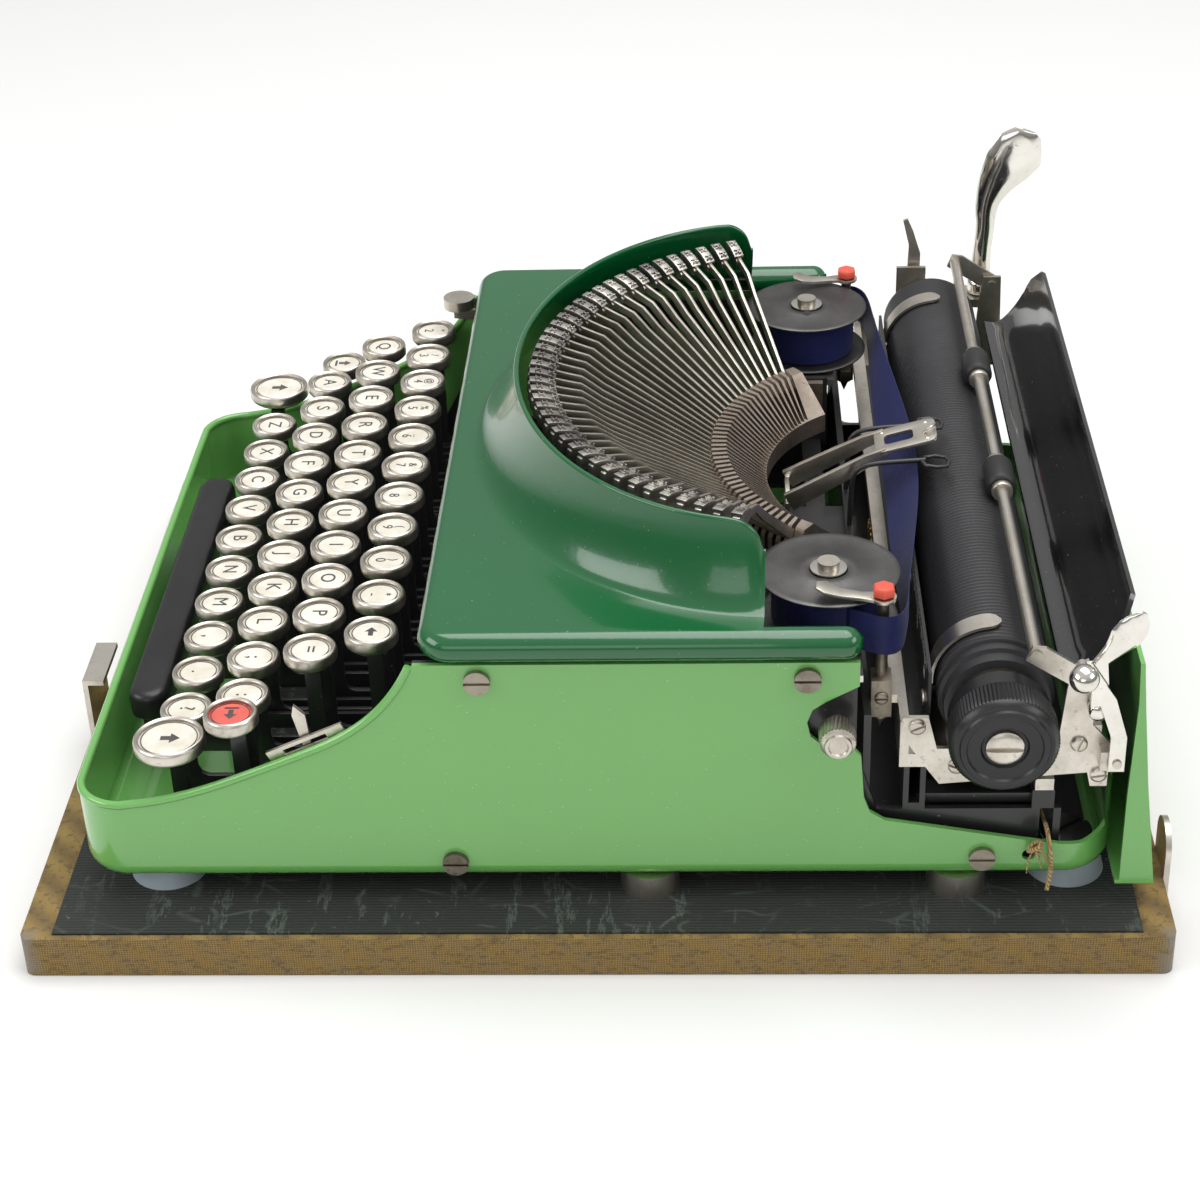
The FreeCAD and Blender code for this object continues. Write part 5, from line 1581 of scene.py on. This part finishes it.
def build_paper_table():
    curve = [(126.6, 80.3), (129.6, 79.4), (133.6, 81.6), (137.6, 87.0), (141.2, 93.6), (144.9, 101.0)]
    path = smooth_path([at(0, y, z) for y, z in curve], 5)
    left, right = table_low.x, table_high.x
    width = right - left
    rings = []
    for c in range(table_columns + 1):
        x = left + width * c / table_columns
        from_end = min(x - left, right - x) / mm
        drop = 0.0
        if from_end <= table_corner:
            rounding = table_corner ** 2 - (table_corner - from_end) ** 2
            drop = table_corner - math.sqrt(max(0.0, rounding))
        ring = []
        for i, point in enumerate(path):
            ahead = (path[min(i + 1, len(path) - 1)] - path[max(i - 1, 0)]).normalized()
            share = i / (len(path) - 1)
            ring.append(Vector((x, point.y, point.z)) - ahead * drop * mm * share)
        rings.append(ring)
    shape = Shape()
    loops = []
    for ring in rings:
        front, back = [], []
        for i, point in enumerate(ring):
            ahead = (ring[min(i + 1, len(ring) - 1)] - ring[max(i - 1, 0)]).normalized()
            out = Vector((0, ahead.z, -ahead.y)) * (sheet_half * mm)
            fat = fold_fat if i >= len(ring) - 2 else 1.0
            front.append(point - out * fat)
            back.append(point + out * fat)
        loops.append(front + back[::-1])
    shape.loft(loops, closed=False)
    for x in (left / mm + 6, right / mm - 6):
        hook = [(129.4, 79.4), (132.6, 81.0), (136.2, 69.5), (134.6, 69.5)]
        shape.stamping(scaled(hook), (x - 4) * mm, (x + 4) * mm, "x")
    return make_piece("paper_rest", shape, gloss_black, "carriage", ("paper_table",),
                      sharp=45.0)


paper_rest = build_paper_table()
print("paper rest faces:", len(paper_rest.data.polygons))

# %% [markdown]
# ## Bail rollers
# The nickel bail holds the paper down with two short rubber tyres, each kept in place by a collar at
# either side. The tyres turn and the collars don't, so they are two pieces on two bodies.

# %% Bail rollers
bail_y, bail_z = 118.0, 93.0
roller_places, roller_half = (19.0, -52.6), 6.75


def build_bail_rollers():
    tyres, collars = Shape(), Shape()
    half = roller_half
    for x in roller_places:
        profile = [(1.8, -half), (3.4, -half), (4.1, -half + 0.5), (4.4, -half + 1.3), (4.4, half - 1.3),
                   (4.1, half - 0.5), (3.4, half), (1.8, half)]
        tyres.lathe(scaled(profile), at(x, bail_y, bail_z), "x", 36)
        for start in (-half - 2.6, half + 0.2):
            collar = [(1.72, start), (2.9, start), (3.1, start + 0.3), (3.1, start + 2.1), (2.9, start + 2.4),
                      (1.72, start + 2.4)]
            collars.lathe(scaled(collar), at(x, bail_y, bail_z), "x", 28)
    make_piece("bail_tyres", tyres, black_rubber, "bail_rollers", ("bail_rollers",))
    make_piece("bail_collars", collars, nickel, "paper_bail")


build_bail_rollers()
print("bail rollers built")

# %% [markdown]
# ## Scale
# A black strip in front of the platen carries a white stroke for every letter's place, with a taller one
# at each fifth and a number at each tenth. Strokes repeat on points, and the numbers are plain digits.

# %% Scale
scale_low, scale_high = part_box("scale_plate")
scale_face, letter_pitch = 91.4, 2.54
short_stroke, tall_stroke = 2.4, 4.2


def stroke_mesh(height):
    outline = [(-0.16, 0.0), (0.16, 0.0), (0.16, height), (-0.16, height)]
    return Shape().stamping(scaled(outline), -0.06 * mm, 0.02 * mm, "y").mesh("stroke_item")


def build_scale():
    start, stop = scale_low.x / mm + 6, scale_high.x / mm - 6
    count = int((stop - start) / letter_pitch)
    top = scale_high.z / mm - 1.2
    short, tall = [], []
    for i in range(count + 1):
        x = start + letter_pitch * i
        if i % 5:
            short.append((at(x, scale_face, top - short_stroke), level))
        else:
            tall.append((at(x, scale_face, top - tall_stroke), level))
    repeat("scale_short_strokes", short, stroke_mesh(short_stroke), white_ink, "carriage")
    repeat("scale_tall_strokes", tall, stroke_mesh(tall_stroke), white_ink, "carriage")
    numbers = Shape()
    for i in range(0, count + 1, 10):
        mesh = text_mesh(str(i), 4.0)
        foot = at(start + letter_pitch * i, scale_face - 0.02, top - 7.0)
        numbers.add([Vector((v.co.x, -v.co.z, v.co.y)) + foot for v in mesh.vertices],
                    [tuple(p.vertices) for p in mesh.polygons])
        bpy.data.meshes.remove(mesh)
    make_piece("scale_numbers", numbers, white_ink, "carriage")
    rivets = Shape()
    for x in (scale_high.x / mm - 10, scale_low.x / mm + 10):
        outline = [(x + u * 1.6, scale_low.z / mm + 5.6 + v) for u, v in arc(1.9, 0, 340, 18)]
        rivets.stamping(scaled(outline), (scale_face - 0.7) * mm, (scale_face + 0.1) * mm, "y")
    make_piece("scale_rivets", rivets, nickel, "carriage", bevel=0.25 * mm)


build_scale()
print("scale strokes placed")

# %% [markdown]
# ## Spoon-shaped levers
# The return lever and the paper release are polished spoons. A flat stamping would have hard edges. A
# loft of flat ovals along a bent line has the soft edges of a forged and buffed part.

# %% Spoon
def spoon(shape, path, widths, thicknesses, steps=14):
    """Oval sections along a path in a plane of constant X. Widths lie in that plane."""
    line = smooth_path([at(*p) for p in path], 6)
    rings = []
    last = len(line) - 1
    for i, point in enumerate(line):
        share = i / last * (len(widths) - 1)
        k = min(int(share), len(widths) - 2)
        blend = share - k
        w = (widths[k] * (1 - blend) + widths[k + 1] * blend) * mm / 2
        t = (thicknesses[k] * (1 - blend) + thicknesses[k + 1] * blend) * mm / 2
        ahead = (line[min(i + 1, last)] - line[max(i - 1, 0)]).normalized()
        side = Vector((1, 0, 0))
        flat = ahead.cross(side).normalized()
        ring = []
        for s in range(steps):
            a = 2 * math.pi * s / steps
            ring.append(point + flat * math.cos(a) * w + side * math.sin(a) * t)
        rings.append(ring)
    shape.loft(rings, closed=False)


print("spoon tool ready")

# %% [markdown]
# ## Carriage levers
# The line, widths and thicknesses of each spoon are its whole design. A hub or a stem joins it to its
# pivot. The carriage's release lever keeps the frame's shape and only takes the same polish.

# %% Carriage levers
return_x, release_x = -139.4, 117.1


def build_return_lever():
    x = return_x
    shape = Shape()
    spoon(shape, [(x, 127.5, 82.0), (x, 127.6, 92.0), (x, 128.6, 103.0), (x, 128.4, 112.0), (x, 131.4, 120.0),
                  (x, 135.6, 126.6), (x, 140.0, 132.6), (x, 143.4, 135.2), (x, 144.6, 136.2)],
          [7.0, 6.2, 6.4, 8.4, 12.6, 17.0, 18.4, 13.6, 3.0], [3.6, 3.2, 3.2, 3.4, 3.8, 3.8, 3.2, 2.6, 1.0])
    profile = [(2.1, 79.4), (4.0, 79.4), (4.2, 79.8), (4.2, 83.2), (3.7, 83.8), (2.1, 83.8)]
    shape.lathe(scaled(profile), at(x, 127.5, 0), "z", 28)
    return make_piece("return_spoon", shape, polished, "return_lever", ("return_lever",),
                      sharp=50.0)


def build_paper_release():
    x = release_x
    shape = Shape()
    spoon(shape, [(x, 133.6, 91.6), (x, 137.0, 95.4), (x, 140.0, 99.4), (x, 142.4, 103.4), (x, 143.8, 106.2),
                  (x, 144.4, 107.4)],
          [3.6, 6.0, 8.8, 8.4, 6.0, 1.6], [1.6, 1.8, 2.0, 1.8, 1.4, 0.8])
    shape.bar([at(x, 135.0, 75.0), at(x, 134.9, 84.0), at(x, 134.0, 92.6)], 1.2 * mm, 4.4 * mm)
    stud = [(0.01, x - 3.6), (2.4, x - 3.6), (2.6, x - 3.2), (2.6, x + 0.4), (2.2, x + 0.9), (0.01, x + 1.0)]
    shape.lathe(scaled(stud), at(0, 135.0, 76.5), "x", 24)
    return make_piece("paper_release_spoon", shape, polished, "paper_release_lever",
                      ("paper_release_lever",), sharp=50.0)


return_spoon = build_return_lever()
release_spoon = build_paper_release()
finish_node("carriage_release_lever", polished)
print("spoon faces:", [len(spoon_piece.data.polygons) for spoon_piece in (return_spoon, release_spoon)])

# %% [markdown]
# ## Screws on the end plate
# Slotted screws hold the carriage's end plate. One head repeats on points, and each is turned at an odd
# angle, as a hand leaves it.

# %% Carriage screws
def head_mesh(radius, height):
    shape = Shape()
    slotted_head(shape, 0, 0, 0, radius, height)
    return shape.mesh("screw_item")


plate_face = 113.5
head_places = [(plate_face, 88.0, 69.8, 25), (plate_face, 131.2, 64.0, 70), (plate_face, 99.0, 57.0, -20),
               (plate_face, 137.0, 54.0, 10), (plate_face, 121.5, 66.4, 55)]
screw_spots = [(at(x, y, z), (math.radians(turn), 0.0, 0.0)) for x, y, z, turn in head_places]
repeat("plate_screws", screw_spots, head_mesh(2.3, 1.1), nickel, "carriage")
print("plate screws:", len(screw_spots))

# %% [markdown]
# ## Knot of the draw string
# The string that pulls the carriage is knotted through a hole in the side and its end has frayed. A few
# wound loops make the knot, and thin strands with a fixed seed make the fray.

# %% String knot
knot_place, strand_count = (118.6, 120.8, 33.0), 9
string_radius, strand_radius = 0.62, 0.17


def build_knot():
    centre = at(*knot_place)
    shape = Shape()
    for i, (tilt, size) in enumerate(((0.2, 1.5), (1.1, 1.7), (2.0, 1.4))):
        loop = []
        for k in range(17):
            a = 2 * math.pi * k / 16
            flat = Vector((0.6 * math.sin(a), math.cos(a), math.sin(a + tilt) * 0.7)) * size * mm
            loop.append(centre + flat + Vector((0, 0, (i - 1) * 0.7 * mm)))
        shape.tube(loop, string_radius * mm, 8)
    fray = random.Random(7)
    for i in range(strand_count):
        spread = Vector((fray.uniform(-0.2, 0.9), fray.uniform(-0.6, 1.2), fray.uniform(-1.0, -0.2)))
        path = [centre, centre + spread * 2.4 * mm, centre + spread * 4.2 * mm + Vector((0, 0, -0.8 * mm)),
                centre + spread * 5.4 * mm + Vector((0.3 * mm, 0.5 * mm, -2.2 * mm))]
        shape.tube(path, strand_radius * mm, 5)
    return make_piece("string_knot", shape, string, "root", sharp=80.0)


knot = build_knot()
print("knot faces:", len(knot.data.polygons))

# %% [markdown]
# ## Ribbon posts and card guides
# Each ribbon post is a dull metal pin with a cone-pointed foot, held in a small block. The lathe turns the
# pin. The card guides beside the printing point are loops of black wire, swept along their paths.

# %% Guides
def build_guides():
    metal, wire = Shape(), Shape()
    for side in (-1, 1):
        x = side * post_x
        profile = [(0.01, 61.0), (1.5, 64.6), (2.6, 65.2), (2.6, 66.6), (1.3, 67.0), (1.3, 74.0), (1.6, 74.4),
                   (1.6, lever_z - 0.1), (2.8, lever_z - 0.1), (2.8, lever_z), (0.01, lever_z)]
        metal.lathe(scaled(profile), at(x, post_y, 0), "z", 24)
        block = [(x - 3.4, 76.2), (x + 3.4, 76.2), (x + 3.4, 81.8), (x - 3.4, 81.8)]
        metal.stamping(scaled(block), 66.4 * mm, 78.0 * mm, "z")
        far, near = x - side * 6.0, x - side * 3.0
        foot = [(far, 77.4), (near, 77.4), (near, 80.8), (far, 80.8)]
        metal.stamping(scaled(foot), 68.0 * mm, 71.0 * mm, "z")
        slotted_head(metal, x + side * 3.4, 79.0, 72.6, 1.9, 0.8, side)
        stem = [at(side * 11, 75.0, 72.5), at(side * 11, 75.2, 86.0), at(side * 11, 76.4, 91.8),
                at(side * 11, 82.0, 93.6), at(side * 11, 92.0, 94.3), at(side * 11, 97.0, 94.6)]
        wire.tube(smooth_path(stem, 5), 0.75 * mm, 10)
        loop = [(0.0, 96.0), (-2.6, 97.0), (-3.4, 100.0), (-2.4, 103.2), (0.6, 103.8), (3.0, 103.2),
                (3.6, 100.0), (2.6, 97.0), (0.0, 96.0)]
        wire.tube([at(side * 12 + u, y, 94.6) for u, y in loop], 0.6 * mm, 8)
    make_piece("ribbon_posts", metal, screw_metal, "root", ("ribbon_guides",),
               bevel=0.25 * mm)
    make_piece("card_loops", wire, satin_black, "root", sharp=60.0)


build_guides()
print("guides built")

# %% [markdown]
# ## Paper fingers
# A finger is a nickel strap that starts below the platen and lies along its curve with a round end. It
# is one bar along an arc, and its last few widths shrink as a circle does, which rounds the end.

# %% Fingers
finger_places, finger_steps = (95.0, -109.0), 22
finger_start, finger_end = 184, 84
finger_width, finger_lift = 6.8, 0.95


def build_fingers():
    shape = Shape()
    radius = platen_radius + finger_lift
    for x in finger_places:
        path, widths = [], []
        for i in range(finger_steps + 1):
            a = math.radians(finger_start - (finger_start - finger_end) * i / finger_steps)
            path.append(at(x, platen_y + radius * math.cos(a), platen_z + radius * math.sin(a)))
            left = (finger_steps - i) / 3
            share = 1.0 if left > 1 else math.sqrt(max(0.05, 1 - (1 - left) ** 2))
            widths.append(finger_width * mm * share)
        shape.bar(path, widths, 0.8 * mm, (1, 0, 0))
    return make_piece("finger_straps", shape, nickel, "carriage", ("paper_fingers",),
                      sharp=50.0)


fingers = build_fingers()
print("finger faces:", len(fingers.data.polygons))

# %% [markdown]
# ## Foot screws
# The feet are held by wide slotted screws of blackened steel, seen inside the body's corners. Each is two
# half discs with a gap on a low bed. The frame's own screws in the body's sides take a dull metal.

# %% Foot screws
foot_places = [(x, y) for x in (-100, 100) for y in (132.0, -122.0)]
slot_half = 0.9


def build_foot_screws():
    shape = Shape()
    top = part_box("machine_feet")[1].z / mm
    bed = [(0.01, top), (7.0, top), (7.0, top + 0.35), (0.01, top + 0.35)]
    for x, y in foot_places:
        for sign in (-1, 1):
            rings = []
            for radius, z in ((7.2, top), (7.2, top + 0.9), (6.6, top + 1.3)):
                edge = math.degrees(math.asin(slot_half / radius))
                rings.append([at(x + sign * v * 0.8 + u * 0.6, y + sign * v * 0.6 - u * 0.8, z)
                              for u, v in arc(radius, edge, 180 - edge, 18)])
            shape.loft(rings, closed=False)
        shape.lathe(scaled(bed), at(x, y, 0), "z", 32)
    return make_piece("foot_screws", shape, satin_black, "root", bevel=0.15 * mm)


foot_screws = build_foot_screws()
finish_node("body_screws", screw_metal)
print("foot screw faces:", len(foot_screws.data.polygons))
